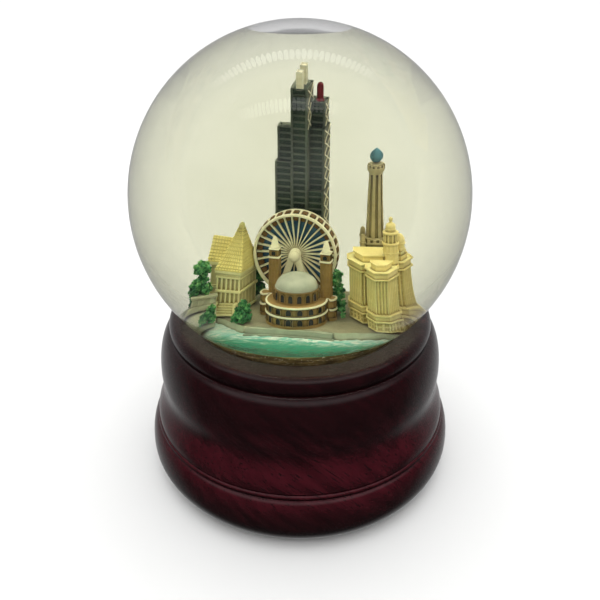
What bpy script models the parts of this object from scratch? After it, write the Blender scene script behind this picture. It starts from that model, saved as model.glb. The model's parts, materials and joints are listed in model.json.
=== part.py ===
# Musical snow globe: a glass ball of liquid over a cast city, on a turned wooden base.
# The base holds a wind-up movement with a key in the underside. Metres, +Z up.
# The origin is on the floor, under the middle of the base. The front of the globe faces -Y.
from math import acos, atan2, ceil, cos, copysign, pi, radians, sin, sqrt

import bmesh
import bpy
from mathutils import Matrix, Vector

mm = 0.001

# General clearances and mesh fineness
fit_gap = 0.3 * mm
weld_distance = 0.001 * mm
turned_segments = 32
small_segments = 10
smooth_angle = radians(35)

# Glass ball and its neck
globe_radius = 50 * mm
glass_wall = 2.5 * mm
neck_radius = 32.5 * mm
globe_steps = 11
liquid_headroom = 2.5 * mm

# Turned base, outside: radius and height above the floor of each feature
base_height = 55.9 * mm
dish_radius = 36 * mm
rim_flat_radius = 40.2 * mm
rim_radius = 42.7 * mm
rim_middle_height = 52 * mm
rim_foot_height = 50.2 * mm
rim_crease_depth = 0.5 * mm
upper_swell_radius = 46.75 * mm
upper_swell_height = 36.3 * mm
cove_radius = 46.4 * mm
cove_height = 31 * mm
skirt_inset = 2.8 * mm
skirt_height = 20.4 * mm
bead_inset = 2.3 * mm
bead_height = 19.2 * mm
bead_half_width = 0.8 * mm
bead_crease_depth = 0.8 * mm
roll_radius = 52 * mm
roll_height = 9.6 * mm
foot_tuck = 3.8 * mm
curve_steps = 4

# Turned base, inside
socket_depth = 10.4 * mm
web_thickness = 4 * mm
cavity_radius = 33.5 * mm
recess_radius = 40 * mm
recess_depth = 14.5 * mm

# Felt pads under the foot
pad_count = 4
pad_radius = 3.2 * mm
pad_thickness = 0.8 * mm

# Gasket and stopper that close the neck
gasket_thickness = 1.5 * mm
gasket_width = 5 * mm
stopper_chamfer = 1 * mm

# Bottom cover and its screws
cover_thickness = 2.4 * mm
cover_screw_count = 3
cover_screw_radius = 1.3 * mm
cover_screw_depth = 8 * mm
screw_head_ratio = 2.1
screw_head_height = 1.5 * mm

# Cast ground disc
ground_radius = 29 * mm
ground_thickness = 6 * mm
water_drop = 1.5 * mm
shore_left = (-17.5 * mm, 13 * mm)
shore_front_left = (-12.5 * mm, 4.8 * mm)
shore_front_right = (9 * mm, -1.2 * mm)
shore_right = (21 * mm, 1.5 * mm)
terrace_half_width = 9.5 * mm
terrace_front = -7.3 * mm
terrace_back = -3 * mm
terrace_step = 0.15 * mm
shore_steps = 48

# Domed hall
hall_x = -0.75 * mm
hall_y = 8 * mm
hall_yaw = radians(-16)
hall_front_radius = 6.6 * mm
hall_half_width = 8.5 * mm
hall_wing_front = 1.8 * mm
hall_depth = 4.5 * mm
hall_tier_height = 2.15 * mm
hall_ledge = 0.45 * mm
hall_ledge_height = 0.5 * mm
drum_radius = 5 * mm
drum_height = 2.4 * mm
dome_radius = 4.75 * mm
dome_height = 3.1 * mm

# Towers of the domed hall
hall_tower_width = 2.35 * mm
hall_tower_height = 9.4 * mm
hall_tower_spacing = 12.1 * mm
hall_tower_back = 3.25 * mm
hall_tower_cap = 3.2 * mm
hall_tower_band = 0.4 * mm

# Observation wheel and its frame
wheel_x = -0.8 * mm
wheel_y = 17 * mm
wheel_yaw = radians(-10)
wheel_radius = 9.7 * mm
wheel_hub_height = 11.95 * mm
wheel_half_thickness = 2 * mm
wheel_rim_width = 1.1 * mm
wheel_web_thickness = 1.4 * mm
wheel_hub_radius = 2 * mm
wheel_spoke_count = 24
wheel_spoke_width = 0.35 * mm
frame_spread = 5 * mm
frame_thickness = 0.8 * mm
frame_leg_width = 1.3 * mm

# Stepped tower, its masts and its finial
tower_x = 0.4 * mm
tower_y = 22 * mm
tower_yaw = radians(-14)
tower_bay = 3.75 * mm
tower_depth_bay = 1.7 * mm
tower_low_height = 25.6 * mm
tower_left_height = 31.9 * mm
tower_shoulder_height = 39.2 * mm
tower_upper_height = 44.5 * mm
tower_top_height = 48 * mm
mast_radius = 0.75 * mm
mast_height = 2.9 * mm
finial_radius = 0.8 * mm
finial_height = 3.6 * mm

# Stone tower and its cap
stone_x = 16.7 * mm
stone_y = 19 * mm
stone_base_width = 5.2 * mm
stone_base_height = 13.4 * mm
stone_shaft_foot = 2.05 * mm
stone_shaft_head = 1.5 * mm
stone_shaft_height = 32.2 * mm
stone_collar = 0.4 * mm
stone_turret_radius = 0.64 * mm
stone_collar_height = 1.6 * mm
stone_cap_radius = 1.4 * mm
stone_cap_height = 3 * mm

# Cream block with its front bay and cupolas
block_x = 17.6 * mm
block_y = 9.6 * mm
block_half_width = 6.8 * mm
block_half_depth = 4.4 * mm
block_chamfer = 2.2 * mm
block_height = 13 * mm
block_plinth_height = 2.6 * mm
block_moulding = 0.5 * mm
block_moulding_height = 0.6 * mm
block_attic_height = 2 * mm
block_attic_inset = 1.3 * mm
bay_half_width = 3.7 * mm
bay_reach = 4.2 * mm
bay_chamfer = 1.9 * mm
cupola_x = 20.1 * mm
cupola_y = 8 * mm
cupola_radius = 1.75 * mm
cupola_height = 8 * mm
small_cupola_x = 22.4 * mm
small_cupola_y = 11.2 * mm
small_cupola_radius = 1.1 * mm
small_cupola_height = 3.4 * mm

# Hall with tiled roofs
museum_x = -14.9 * mm
museum_y = 14.6 * mm
museum_yaw = radians(-17)
museum_half_width = 2.7 * mm
museum_half_depth = 2.3 * mm
museum_wall_height = 9.3 * mm
museum_roof_height = 10.4 * mm
museum_apex_shift = 1.9 * mm
museum_eave = 0.5 * mm
museum_eave_height = 0.7 * mm
wing_x = -2.2 * mm
wing_width = 5.2 * mm
wing_half_depth = 1.3 * mm
wing_wall_height = 10.7 * mm
wing_roof_height = 4.8 * mm
porch_depth = 1.6 * mm
porch_height = 2 * mm

# Foliage: place on the ground, half sizes and height
foliage = {
    "tree_left": ((-21.4 * mm, 14.6 * mm), (2 * mm, 1.9 * mm), 11.4 * mm),
    "bush_front_left": ((-19.4 * mm, 9.4 * mm), (1.7 * mm, 1.4 * mm), 3.6 * mm),
    "bush_front": ((-12.8 * mm, 7.5 * mm), (2.2 * mm, 1.8 * mm), 5 * mm),
    "bush_behind_hall": ((-9.2 * mm, 22.6 * mm), (1.9 * mm, 1.7 * mm), 9 * mm),
    "bush_right": ((8.4 * mm, 12 * mm), (1.7 * mm, 1.1 * mm), 9.6 * mm),
}
foliage_lump = 0.12
foliage_waves = 5

# Movement: shared heights and clearances
bedplate_thickness = 2 * mm
bedplate_radius = 32.4 * mm
bedplate_back = -15 * mm
bedplate_half_width = 22.4 * mm
movement_screw_radius = 1.2 * mm
movement_screw_x = -9 * mm
movement_screw_y = 15 * mm
housing_radius = 11 * mm
housing_height = 4.5 * mm
arbor_radius = 2 * mm
arbor_overrun = 1.5 * mm

# Gear teeth: share of the pitch that a tooth fills, and its height above and below the pitch line
tooth_share = 0.28
tip_share = 0.18
addendum = 0.5 * mm
dedendum = 0.85 * mm
drive_teeth = 32
drive_pitch_radius = 9 * mm
drive_web = 1.2 * mm
cylinder_pinion_teeth = 16
pinion_width = 1.4 * mm
cylinder_wheel_teeth = 34
train_pinion_teeth = 12
train_pitch_radius = 3 * mm
wheel_width = 1.3 * mm
worm_wheel_teeth = 16
worm_wheel_pitch_radius = 4.2 * mm
worm_pitch_radius = 1.5 * mm
worm_turns = 4
worm_turn_steps = 8

# Cylinder, comb and governor
shaft_radius = 1.2 * mm
post_thickness = 1.2 * mm
post_margin = 2.2 * mm
cylinder_radius = 5.5 * mm
cylinder_length = 11.8 * mm
pin_height = 0.6 * mm
pin_width = 0.35 * mm
note_count = 15
note_pitch = 0.72 * mm
comb_thickness = 0.9 * mm
comb_tooth_length = 9 * mm
comb_heel = 6 * mm
comb_slot = 0.2 * mm
comb_screw_radius = 0.9 * mm
fan_radius = 3.3 * mm
fan_height = 3 * mm
fan_thickness = 0.5 * mm
governor_arm = 1.3 * mm
governor_width = 4 * mm

# Winding key
key_half_width = 13 * mm
key_thickness = 1.6 * mm
key_floor = 2.4 * mm
key_wing_height = 9 * mm
key_hub_wall = 1.3 * mm

# Heights that follow from the sizes above
skirt_radius = roll_radius - skirt_inset
bead_radius = roll_radius - bead_inset
foot_radius = roll_radius - foot_tuck
foot_height = pad_thickness + fit_gap
shell_radius = globe_radius + fit_gap
globe_z = base_height + sqrt(shell_radius ** 2 - dish_radius ** 2)
inner_radius = globe_radius - glass_wall
neck_inner_radius = neck_radius - glass_wall
socket_radius = neck_radius + fit_gap
socket_floor = base_height - socket_depth
gasket_floor = socket_floor + fit_gap
neck_bottom = gasket_floor + gasket_thickness + fit_gap
neck_inner_top = globe_z - sqrt(inner_radius ** 2 - neck_inner_radius ** 2)
stopper_top = neck_inner_top + fit_gap
ground_floor = stopper_top + fit_gap
ground_top = ground_floor + ground_thickness
city_floor = ground_top + fit_gap
cover_floor = recess_depth
cover_top = cover_floor + cover_thickness
shoulder_height = cover_top + fit_gap
cavity_ceiling = socket_floor - web_thickness
plate_floor = cover_top + fit_gap
plate_top = plate_floor + bedplate_thickness
housing_floor = plate_top + fit_gap
housing_top = housing_floor + housing_height
drive_floor = housing_top + fit_gap
drive_disc_top = drive_floor + drive_web
drive_pitch_height = drive_disc_top + dedendum
cylinder_pitch_radius = drive_pitch_radius * cylinder_pinion_teeth / drive_teeth
axle_height = drive_pitch_height + cylinder_pitch_radius
train_module = 2 * train_pitch_radius / train_pinion_teeth
wheel_pitch_radius = train_module * cylinder_wheel_teeth / 2

# Places along the cylinder's axle
drive_outer_radius = drive_pitch_radius + pinion_width
post_inner_x = max(drive_outer_radius, housing_radius) + 2 * fit_gap
cylinder_x = post_inner_x + post_thickness + 2 * fit_gap
cylinder_wheel_x = cylinder_x + cylinder_length + 2 * fit_gap
plate_outer_x = cylinder_wheel_x + wheel_width + 2 * fit_gap
train_y = -(wheel_pitch_radius + train_pitch_radius)
worm_wheel_x = cylinder_x + cylinder_length / 2
train_post_x = worm_wheel_x - 3 * post_thickness
worm_x = worm_wheel_x + wheel_width / 2
worm_y = train_y - worm_wheel_pitch_radius - worm_pitch_radius
worm_pitch = 2 * pi * worm_wheel_pitch_radius / worm_wheel_teeth
worm_core_radius = worm_pitch_radius - dedendum
notes_x = cylinder_x + (cylinder_length - note_pitch * (note_count - 1)) / 2
comb_tip_y = cylinder_radius + pin_height + fit_gap
comb_root_y = comb_tip_y + comb_tooth_length
comb_back_y = comb_root_y + comb_heel
comb_floor = axle_height - comb_thickness / 2


# Scene and materials

for old in list(bpy.data.objects):
    bpy.data.objects.remove(old)


def finish(name, colour, roughness, metallic=0.0):
    material = bpy.data.materials.new(name)
    material.use_nodes = True
    shader = material.node_tree.nodes["Principled BSDF"]
    shader.inputs["Base Color"].default_value = (*colour, 1.0)
    shader.inputs["Roughness"].default_value = roughness
    shader.inputs["Metallic"].default_value = metallic
    material.diffuse_color = (*colour, 1.0)
    return material


def clear_finish(name, colour, refraction):
    material = finish(name, colour, 0.02)
    shader = material.node_tree.nodes["Principled BSDF"]
    shader.inputs["Transmission Weight"].default_value = 1.0
    shader.inputs["IOR"].default_value = refraction
    return material


glass = clear_finish("glass", (0.95, 0.97, 0.95), 1.5)
liquid = clear_finish("liquid", (0.93, 0.94, 0.84), 1.35)
mahogany = finish("mahogany", (0.10, 0.018, 0.016), 0.32)
rubber = finish("rubber", (0.30, 0.20, 0.09), 0.7)
felt = finish("felt", (0.05, 0.12, 0.07), 0.95)
fibreboard = finish("fibreboard", (0.12, 0.07, 0.04), 0.85)
steel = finish("steel", (0.62, 0.62, 0.60), 0.35, 1.0)
brass = finish("brass", (0.78, 0.58, 0.25), 0.3, 1.0)
zinc = finish("zinc", (0.55, 0.56, 0.57), 0.5, 1.0)
plastic = finish("plastic", (0.80, 0.79, 0.74), 0.45)
ground_paint = finish("ground_paint", (0.42, 0.40, 0.33), 0.6)
cream_paint = finish("cream_paint", (0.72, 0.62, 0.30), 0.55)
pale_paint = finish("pale_paint", (0.78, 0.74, 0.50), 0.55)
brown_paint = finish("brown_paint", (0.27, 0.17, 0.07), 0.6)
grey_paint = finish("grey_paint", (0.45, 0.47, 0.42), 0.5)
white_paint = finish("white_paint", (0.72, 0.70, 0.62), 0.5)
dark_paint = finish("dark_paint", (0.02, 0.04, 0.035), 0.45)
stone_paint = finish("stone_paint", (0.32, 0.26, 0.12), 0.6)
teal_paint = finish("teal_paint", (0.03, 0.26, 0.30), 0.4)
red_paint = finish("red_paint", (0.35, 0.02, 0.03), 0.4)
leaf_paint = finish("leaf_paint", (0.03, 0.16, 0.06), 0.6)


# Modelling helpers

def add_object(name, bm, material, smooth=False):
    bmesh.ops.remove_doubles(bm, verts=bm.verts, dist=weld_distance)
    bmesh.ops.recalc_face_normals(bm, faces=bm.faces)
    mesh = bpy.data.meshes.new(name)
    bm.to_mesh(mesh)
    bm.free()
    mesh.materials.append(material)
    obj = bpy.data.objects.new(name, mesh)
    bpy.context.scene.collection.objects.link(obj)
    if smooth:
        mesh.shade_smooth()
        mesh.set_sharp_from_angle(angle=smooth_angle)
    return obj


def place(obj, location, rotation=(0, 0, 0), parent=None):
    obj.location = location
    obj.rotation_euler = rotation
    obj.parent = parent
    return obj


def add_pivot(name, location, yaw):
    pivot = bpy.data.objects.new(name, None)
    bpy.context.scene.collection.objects.link(pivot)
    pivot.location = location
    pivot.rotation_euler = (0, 0, yaw)
    return pivot


def combine(target, others, operation, solver="EXACT"):
    for other in others:
        modifier = target.modifiers.new(operation, "BOOLEAN")
        modifier.operation = operation
        modifier.solver = solver
        modifier.object = other
        depsgraph = bpy.context.evaluated_depsgraph_get()
        mesh = bpy.data.meshes.new_from_object(target.evaluated_get(depsgraph))
        target.modifiers.clear()
        target.data = mesh
        bpy.data.objects.remove(other)
    return target


def cut(target, cutters, solver="EXACT"):
    return combine(target, cutters, "DIFFERENCE", solver)


def fuse(target, others):
    return combine(target, others, "UNION")


def turned(name, outline, material, segments=turned_segments):
    """Turn an outline of (radius, height) about Z; it is closed unless it ends on the axis."""
    bm = bmesh.new()
    verts = [bm.verts.new((radius, 0, height)) for radius, height in outline]
    edges = [bm.edges.new(pair) for pair in zip(verts, verts[1:])]
    if outline[0][0] > 0:
        edges.append(bm.edges.new((verts[-1], verts[0])))
    bmesh.ops.spin(bm, geom=verts + edges, axis=(0, 0, 1), cent=(0, 0, 0), angle=2 * pi,
                   steps=segments, use_merge=True)
    return add_object(name, bm, material, smooth=True)


def extruded(name, outline, bottom, top, material):
    bm = bmesh.new()
    face = bm.faces.new([bm.verts.new((x, y, bottom)) for x, y in outline])
    raised = bmesh.ops.extrude_face_region(bm, geom=[face], use_keep_orig=True)["geom"]
    corners = [item for item in raised if isinstance(item, bmesh.types.BMVert)]
    bmesh.ops.translate(bm, verts=corners, vec=(0, 0, top - bottom))
    return add_object(name, bm, material)


def stacked(name, plan, levels, material):
    """Loft the outlines plan(spread) through levels of (height, spread), bottom to top."""
    bm = bmesh.new()
    rings = []
    for height, spread in levels:
        rings.append([bm.verts.new((x, y, height)) for x, y in plan(spread)])
    for low, high in zip(rings, rings[1:]):
        for i, vert in enumerate(low):
            j = (i + 1) % len(low)
            bm.faces.new((vert, low[j], high[j], high[i]))
    bm.faces.new(rings[0])
    bm.faces.new(rings[-1])
    return add_object(name, bm, material)


def box(name, low, high, material=None):
    low, high = Vector(low), Vector(high)
    size = high - low
    bm = bmesh.new()
    bmesh.ops.create_cube(bm, size=1, matrix=Matrix.Translation((low + high) / 2)
                          @ Matrix.Diagonal((*size, 1)))
    return add_object(name, bm, material or steel)


def rod(name, radius, bottom, top, material=None, segments=small_segments):
    outline = [(0, top), (radius, top), (radius, bottom), (0, bottom)]
    return turned(name, outline, material or steel, segments)


def circle_points(radius, count=turned_segments):
    return [(radius * cos(2 * pi * i / count), radius * sin(2 * pi * i / count)) for i in range(count)]


def rectangle(half_x, half_y):
    return [(-half_x, -half_y), (half_x, -half_y), (half_x, half_y), (-half_x, half_y)]


def square_plan(half):
    return lambda spread: rectangle(half + spread, half + spread)


def chamfered(half_x, half_y, corner):
    points = []
    for sx, sy in ((1, -1), (1, 1), (-1, 1), (-1, -1)):
        pair = [(sx * (half_x - corner), sy * half_y), (sx * half_x, sy * (half_y - corner))]
        points += pair if sx * sy < 0 else pair[::-1]
    return points


def polar(radius, angle):
    return (radius * cos(angle), radius * sin(angle))


# Turned base

def bulge(start, end, steps=curve_steps):
    """Quarter ellipse from a level start to an upright end, without the start point."""
    (r0, z0), (r1, z1) = start, end
    angles = [pi / 2 * (i + 1) / steps for i in range(steps)]
    return [(r0 + (r1 - r0) * sin(a), z1 + (z0 - z1) * cos(a)) for a in angles]


def tuck(start, end, steps=curve_steps):
    """Quarter ellipse from an upright start to a level end, without the start point."""
    (r0, z0), (r1, z1) = start, end
    angles = [pi / 2 * (i + 1) / steps for i in range(steps)]
    return [(r1 + (r0 - r1) * cos(a), z0 + (z1 - z0) * sin(a)) for a in angles]


def ogee(start, end, steps=curve_steps):
    """S-curve, upright at both ends, without the start point."""
    (r0, z0), (r1, z1) = start, end
    shares = [(i + 1) / steps for i in range(steps)]
    return [(r0 + (r1 - r0) * (1 - cos(pi * s)) / 2, z0 + (z1 - z0) * s) for s in shares]


def roll_under(start, middle, foot, steps=curve_steps):
    """Round roll from its top crease over the middle to the foot, without the start point."""
    lower_angle = acos(foot[0] / middle[0])
    drop = (middle[1] - foot[1]) / sin(lower_angle)
    lower = []
    for i in range(steps):
        angle = lower_angle * (i + 1) / steps
        lower.append((middle[0] * cos(angle), middle[1] - drop * sin(angle)))
    return bulge(start, middle, steps) + lower


def base_outside():
    rim_flat = (rim_flat_radius, base_height - fit_gap)
    rim_side = (rim_radius, rim_middle_height)
    rim_crease = (rim_radius - rim_crease_depth, rim_foot_height)
    upper_swell = (upper_swell_radius, upper_swell_height)
    cove = (cove_radius, cove_height)
    skirt = (skirt_radius, skirt_height)
    bead_top = (skirt_radius - bead_crease_depth / 2, bead_height + bead_half_width)
    bead = (bead_radius, bead_height)
    bead_foot = (bead_radius - bead_crease_depth, bead_height - bead_half_width)
    roll = (roll_radius, roll_height)
    foot = (foot_radius, foot_height)
    points = [(dish_radius, base_height), rim_flat]
    points += bulge(rim_flat, rim_side)
    points += tuck(rim_side, rim_crease, 2)
    points += bulge(rim_crease, upper_swell)
    points += ogee(upper_swell, cove, 3)
    points += ogee(cove, skirt)
    points += [bead_top]
    points += bulge(bead_top, bead, 2) + tuck(bead, bead_foot, 2)
    points += roll_under(bead_foot, roll, foot)
    return points


def dish_points(steps=3):
    """Arc that follows the glass, from the socket's wall up to the lip, without the lip."""
    points = []
    for i in range(steps):
        radius = socket_radius + (dish_radius - socket_radius) * i / steps
        points.append((radius, globe_z - sqrt(shell_radius ** 2 - radius ** 2)))
    return points


def cover_screw_places():
    radius = (cavity_radius + recess_radius) / 2
    return [polar(radius, 2 * pi * i / cover_screw_count) for i in range(cover_screw_count)]


def build_base():
    outline = [(0, socket_floor), (socket_radius, socket_floor)]
    outline += dish_points()
    outline += base_outside()
    outline += [(recess_radius, foot_height), (recess_radius, shoulder_height)]
    outline += [(cavity_radius, shoulder_height), (cavity_radius, cavity_ceiling), (0, cavity_ceiling)]
    base = turned("wood_base", outline, mahogany)
    pilots = []
    for x, y in cover_screw_places():
        pilot = rod("pilot", cover_screw_radius + fit_gap, cover_floor,
                    shoulder_height + cover_screw_depth)
        pilots.append(place(pilot, (x, y, 0)))
    cut(base, pilots)
    pad_place = (foot_radius + recess_radius) / 2
    for i in range(pad_count):
        pad = rod(f"felt_pad_{i + 1}", pad_radius, 0, pad_thickness, felt)
        place(pad, (*polar(pad_place, pi / pad_count + 2 * pi * i / pad_count), 0))


# Glass, liquid and stopper

def sphere_arc(radius, low_height, high_height, steps=globe_steps):
    """Points of a ball's outline about the globe's middle, from high to low."""
    first = acos(min(1, (high_height - globe_z) / radius))
    last = acos((low_height - globe_z) / radius)
    angles = [first + (last - first) * i / steps for i in range(steps + 1)]
    return [(radius * sin(a), globe_z + radius * cos(a)) for a in angles]


def build_globe():
    neck_top = globe_z - sqrt(globe_radius ** 2 - neck_radius ** 2)
    outside = sphere_arc(globe_radius, neck_top, globe_z + globe_radius)
    inside = sphere_arc(inner_radius, neck_inner_top, globe_z + inner_radius)
    outside[0] = (0, globe_z + globe_radius)
    inside[0] = (0, globe_z + inner_radius)
    neck = [(neck_radius, neck_bottom), (neck_inner_radius, neck_bottom)]
    turned("glass_globe", outside + neck + inside[::-1], glass)

    gasket_inner = socket_radius - gasket_width
    gasket_outer = socket_radius - fit_gap
    gasket_top = gasket_floor + gasket_thickness
    turned("seat_gasket", [(gasket_outer, gasket_top), (gasket_outer, gasket_floor),
                           (gasket_inner, gasket_floor), (gasket_inner, gasket_top)], rubber)

    stopper_radius = neck_inner_radius - fit_gap
    stopper_floor = neck_bottom
    turned("rubber_stopper", [(0, stopper_top), (stopper_radius - stopper_chamfer, stopper_top),
                              (stopper_radius, stopper_top - stopper_chamfer),
                              (stopper_radius, stopper_floor + stopper_chamfer),
                              (stopper_radius - stopper_chamfer, stopper_floor), (0, stopper_floor)],
           rubber)


def pocket_for(obj):
    """Box round a casting, open downwards, that the liquid keeps clear of."""
    corners = [Vector(corner) for corner in obj.bound_box]
    low = Vector(min(c[i] for c in corners) - fit_gap for i in range(3))
    high = Vector(max(c[i] for c in corners) + fit_gap for i in range(3))
    low.z -= ground_thickness / 2
    pocket = box("pocket", low, high)
    pocket.matrix_world = obj.matrix_world
    return pocket


def build_liquid(castings):
    radius = inner_radius - fit_gap
    level = globe_z + inner_radius - liquid_headroom
    collar_height = ground_floor + ground_thickness / 3
    pocket_radius = ground_radius + fit_gap
    outline = [(0, level)]
    outline += sphere_arc(radius, collar_height, level)
    outline += [(pocket_radius, collar_height), (pocket_radius, city_floor), (0, city_floor)]
    fill = turned("liquid_fill", outline, liquid)
    bpy.context.view_layer.update()
    cut(fill, [pocket_for(casting) for casting in castings], "MANIFOLD")


# City castings

def build_ground():
    disc_top = ground_top - water_drop
    edge = circle_points(ground_radius)
    ground = extruded("resin_ground", edge, ground_floor, disc_top, ground_paint)
    reach = ground_radius - fit_gap
    start = atan2(shore_right[1], shore_right[0])
    turn = atan2(shore_left[1], shore_left[0]) - start
    rim = [polar(reach, start + turn * i / shore_steps) for i in range(shore_steps + 1)]
    shore = rim + [shore_left, shore_front_left, shore_front_right, shore_right]
    land = extruded("land", shore, disc_top - water_drop, ground_top, ground_paint)
    terrace = box("terrace", (-terrace_half_width, terrace_front, disc_top - water_drop),
                  (terrace_half_width, terrace_back, ground_top - terrace_step))
    place(terrace, (hall_x, hall_y, 0), (0, 0, hall_yaw))
    fuse(ground, [land, terrace])
    return ground


def hall_plan(spread):
    """Half-round front with wings on both sides of it."""
    radius = hall_front_radius + spread
    half_width = hall_half_width + spread
    wing_front = hall_wing_front - spread
    back = hall_depth
    start = acos(min(1, -wing_front / radius)) - pi / 2
    count = 12
    angles = [pi - start + (pi + 2 * start) * i / count for i in range(count + 1)]
    front = [polar(radius, a) for a in angles]
    wings = [(half_width, wing_front), (half_width, back), (-half_width, back), (-half_width, wing_front)]
    return front + wings


def build_hall():
    pivot = add_pivot("hall_pivot", (hall_x, hall_y, city_floor), hall_yaw)
    levels = [(0, 0)]
    height = 0
    for _ in range(2):
        height += hall_tier_height
        levels += [(height - hall_ledge_height, 0), (height - hall_ledge_height, hall_ledge)]
        levels += [(height, hall_ledge), (height, 0)]
    hall = stacked("domed_hall", hall_plan, levels[:-1], brown_paint)
    place(hall, (0, 0, 0), parent=pivot)
    drum_floor = height + fit_gap
    drum_top = drum_floor + drum_height
    dome = [(drum_radius, drum_floor), (drum_radius, drum_top), (dome_radius, drum_top)]
    steps = 6
    for i in range(1, steps):
        angle = pi / 2 * i / steps
        dome.append((dome_radius * cos(angle), drum_top + dome_height * sin(angle)))
    dome = [(0, drum_floor)] + dome + [(0, drum_top + dome_height)]
    dome = turned("hall_dome", dome[::-1], grey_paint, 24)
    place(dome, (0, 0, 0), parent=pivot)
    pieces = [hall, dome]
    half = hall_tower_width / 2
    band = hall_tower_band
    band_foot = hall_tower_height - hall_tower_cap / 2
    band_top = hall_tower_height - hall_tower_cap / 3
    cap_foot = hall_tower_height + band
    levels = [(0, 0), (band_foot, 0), (band_foot, band), (band_top, band), (band_top, 0)]
    levels += [(hall_tower_height, 0), (hall_tower_height, band), (cap_foot, band)]
    levels += [(cap_foot, -half / 3), (hall_tower_height + hall_tower_cap, -half * 2 / 3)]
    for name, side in (("hall_tower_left", -1), ("hall_tower_right", 1)):
        tower = stacked(name, square_plan(half), levels, brown_paint)
        spot = (side * hall_tower_spacing / 2, hall_tower_back, height + fit_gap)
        pieces.append(place(tower, spot, parent=pivot))
    return pieces


def build_wheel():
    pivot = add_pivot("wheel_pivot", (wheel_x, wheel_y, city_floor + wheel_hub_height), wheel_yaw)
    rim_inner = wheel_radius - wheel_rim_width
    half, web = wheel_half_thickness, wheel_web_thickness / 2
    outline = [(0, half), (wheel_hub_radius, half), (wheel_hub_radius, web)]
    outline += [(rim_inner, web), (rim_inner, half), (wheel_radius, half)]
    outline += [(radius, -height) for radius, height in outline[::-1]]
    wheel = turned("observation_wheel", outline, white_paint)
    sink = fit_gap / 2
    spokes = bmesh.new()
    spoke_length = rim_inner - wheel_hub_radius + 2 * sink
    spoke_middle = (rim_inner + wheel_hub_radius) / 2
    spoke_height = half - fit_gap - web + sink
    size = Matrix.Diagonal((spoke_length, wheel_spoke_width, spoke_height, 1))
    for i in range(wheel_spoke_count):
        spin = Matrix.Rotation(2 * pi * i / wheel_spoke_count, 4, "Z")
        spot = Matrix.Translation((spoke_middle, 0, web - sink + spoke_height / 2))
        bmesh.ops.create_cube(spokes, size=1, matrix=spin @ spot @ size)
    fuse(wheel, [add_object("spokes", spokes, white_paint)])
    place(wheel, (0, 0, 0), (pi / 2, 0, 0), pivot)

    foot = -wheel_hub_height
    leg = frame_leg_width
    legs = [(-frame_spread, foot), (-frame_spread + leg, foot), (0, -wheel_hub_radius)]
    legs += [(frame_spread - leg, foot), (frame_spread, foot), (wheel_hub_radius, 0)]
    legs += [(leg / 2, wheel_hub_radius), (-leg / 2, wheel_hub_radius), (-wheel_hub_radius, 0)]
    near = wheel_half_thickness + fit_gap
    frame = extruded("wheel_frame", legs, near, near + frame_thickness, white_paint)
    place(frame, (0, 0, 0), (pi / 2, 0, 0), pivot)
    return [wheel, frame]


def build_stepped_tower():
    half_bay = tower_bay / 2
    depth = tower_depth_bay
    front = -depth * 3 / 2
    back = depth * 3 / 2
    inset = half_bay - fit_gap
    left = -half_bay - tower_bay
    right = half_bay + tower_bay
    tower = box("stepped_tower", (-half_bay, front, 0), (half_bay, back, tower_top_height), dark_paint)
    setbacks = (
        (left, -inset, front + fit_gap, back - fit_gap, tower_left_height),
        (left + fit_gap, -inset, -depth / 2, back - 2 * fit_gap, tower_shoulder_height),
        (inset, right, front + fit_gap, back - fit_gap, tower_low_height),
        (inset, right - fit_gap, -depth / 2, back + depth, tower_shoulder_height),
        (inset, right - 2 * fit_gap, depth / 3, back + depth - fit_gap, tower_upper_height),
    )
    wings = []
    for low_x, high_x, low_y, high_y, top in setbacks:
        wings.append(box("setback", (low_x, low_y, 0), (high_x, high_y, top)))
    fuse(tower, wings)
    pivot = add_pivot("tower_pivot", (tower_x, tower_y, city_floor), tower_yaw)
    place(tower, (0, 0, 0), parent=pivot)
    roof = tower_top_height + fit_gap
    pieces = [tower]
    for name, y in (("mast_front", -depth), ("mast_back", depth)):
        mast = rod(name, mast_radius, 0, mast_height, white_paint, 10)
        pieces.append(place(mast, (0, y, roof), parent=pivot))
    cone = [(0, finial_height), (finial_radius / 2, finial_height - finial_radius / 3),
            (finial_radius * 0.8, finial_height - finial_radius), (finial_radius, 0), (0, 0)]
    finial = turned("red_finial", cone, red_paint, 12)
    spot = ((inset + right) / 2, depth, tower_upper_height + fit_gap)
    pieces.append(place(finial, spot, parent=pivot))
    return pieces


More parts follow.
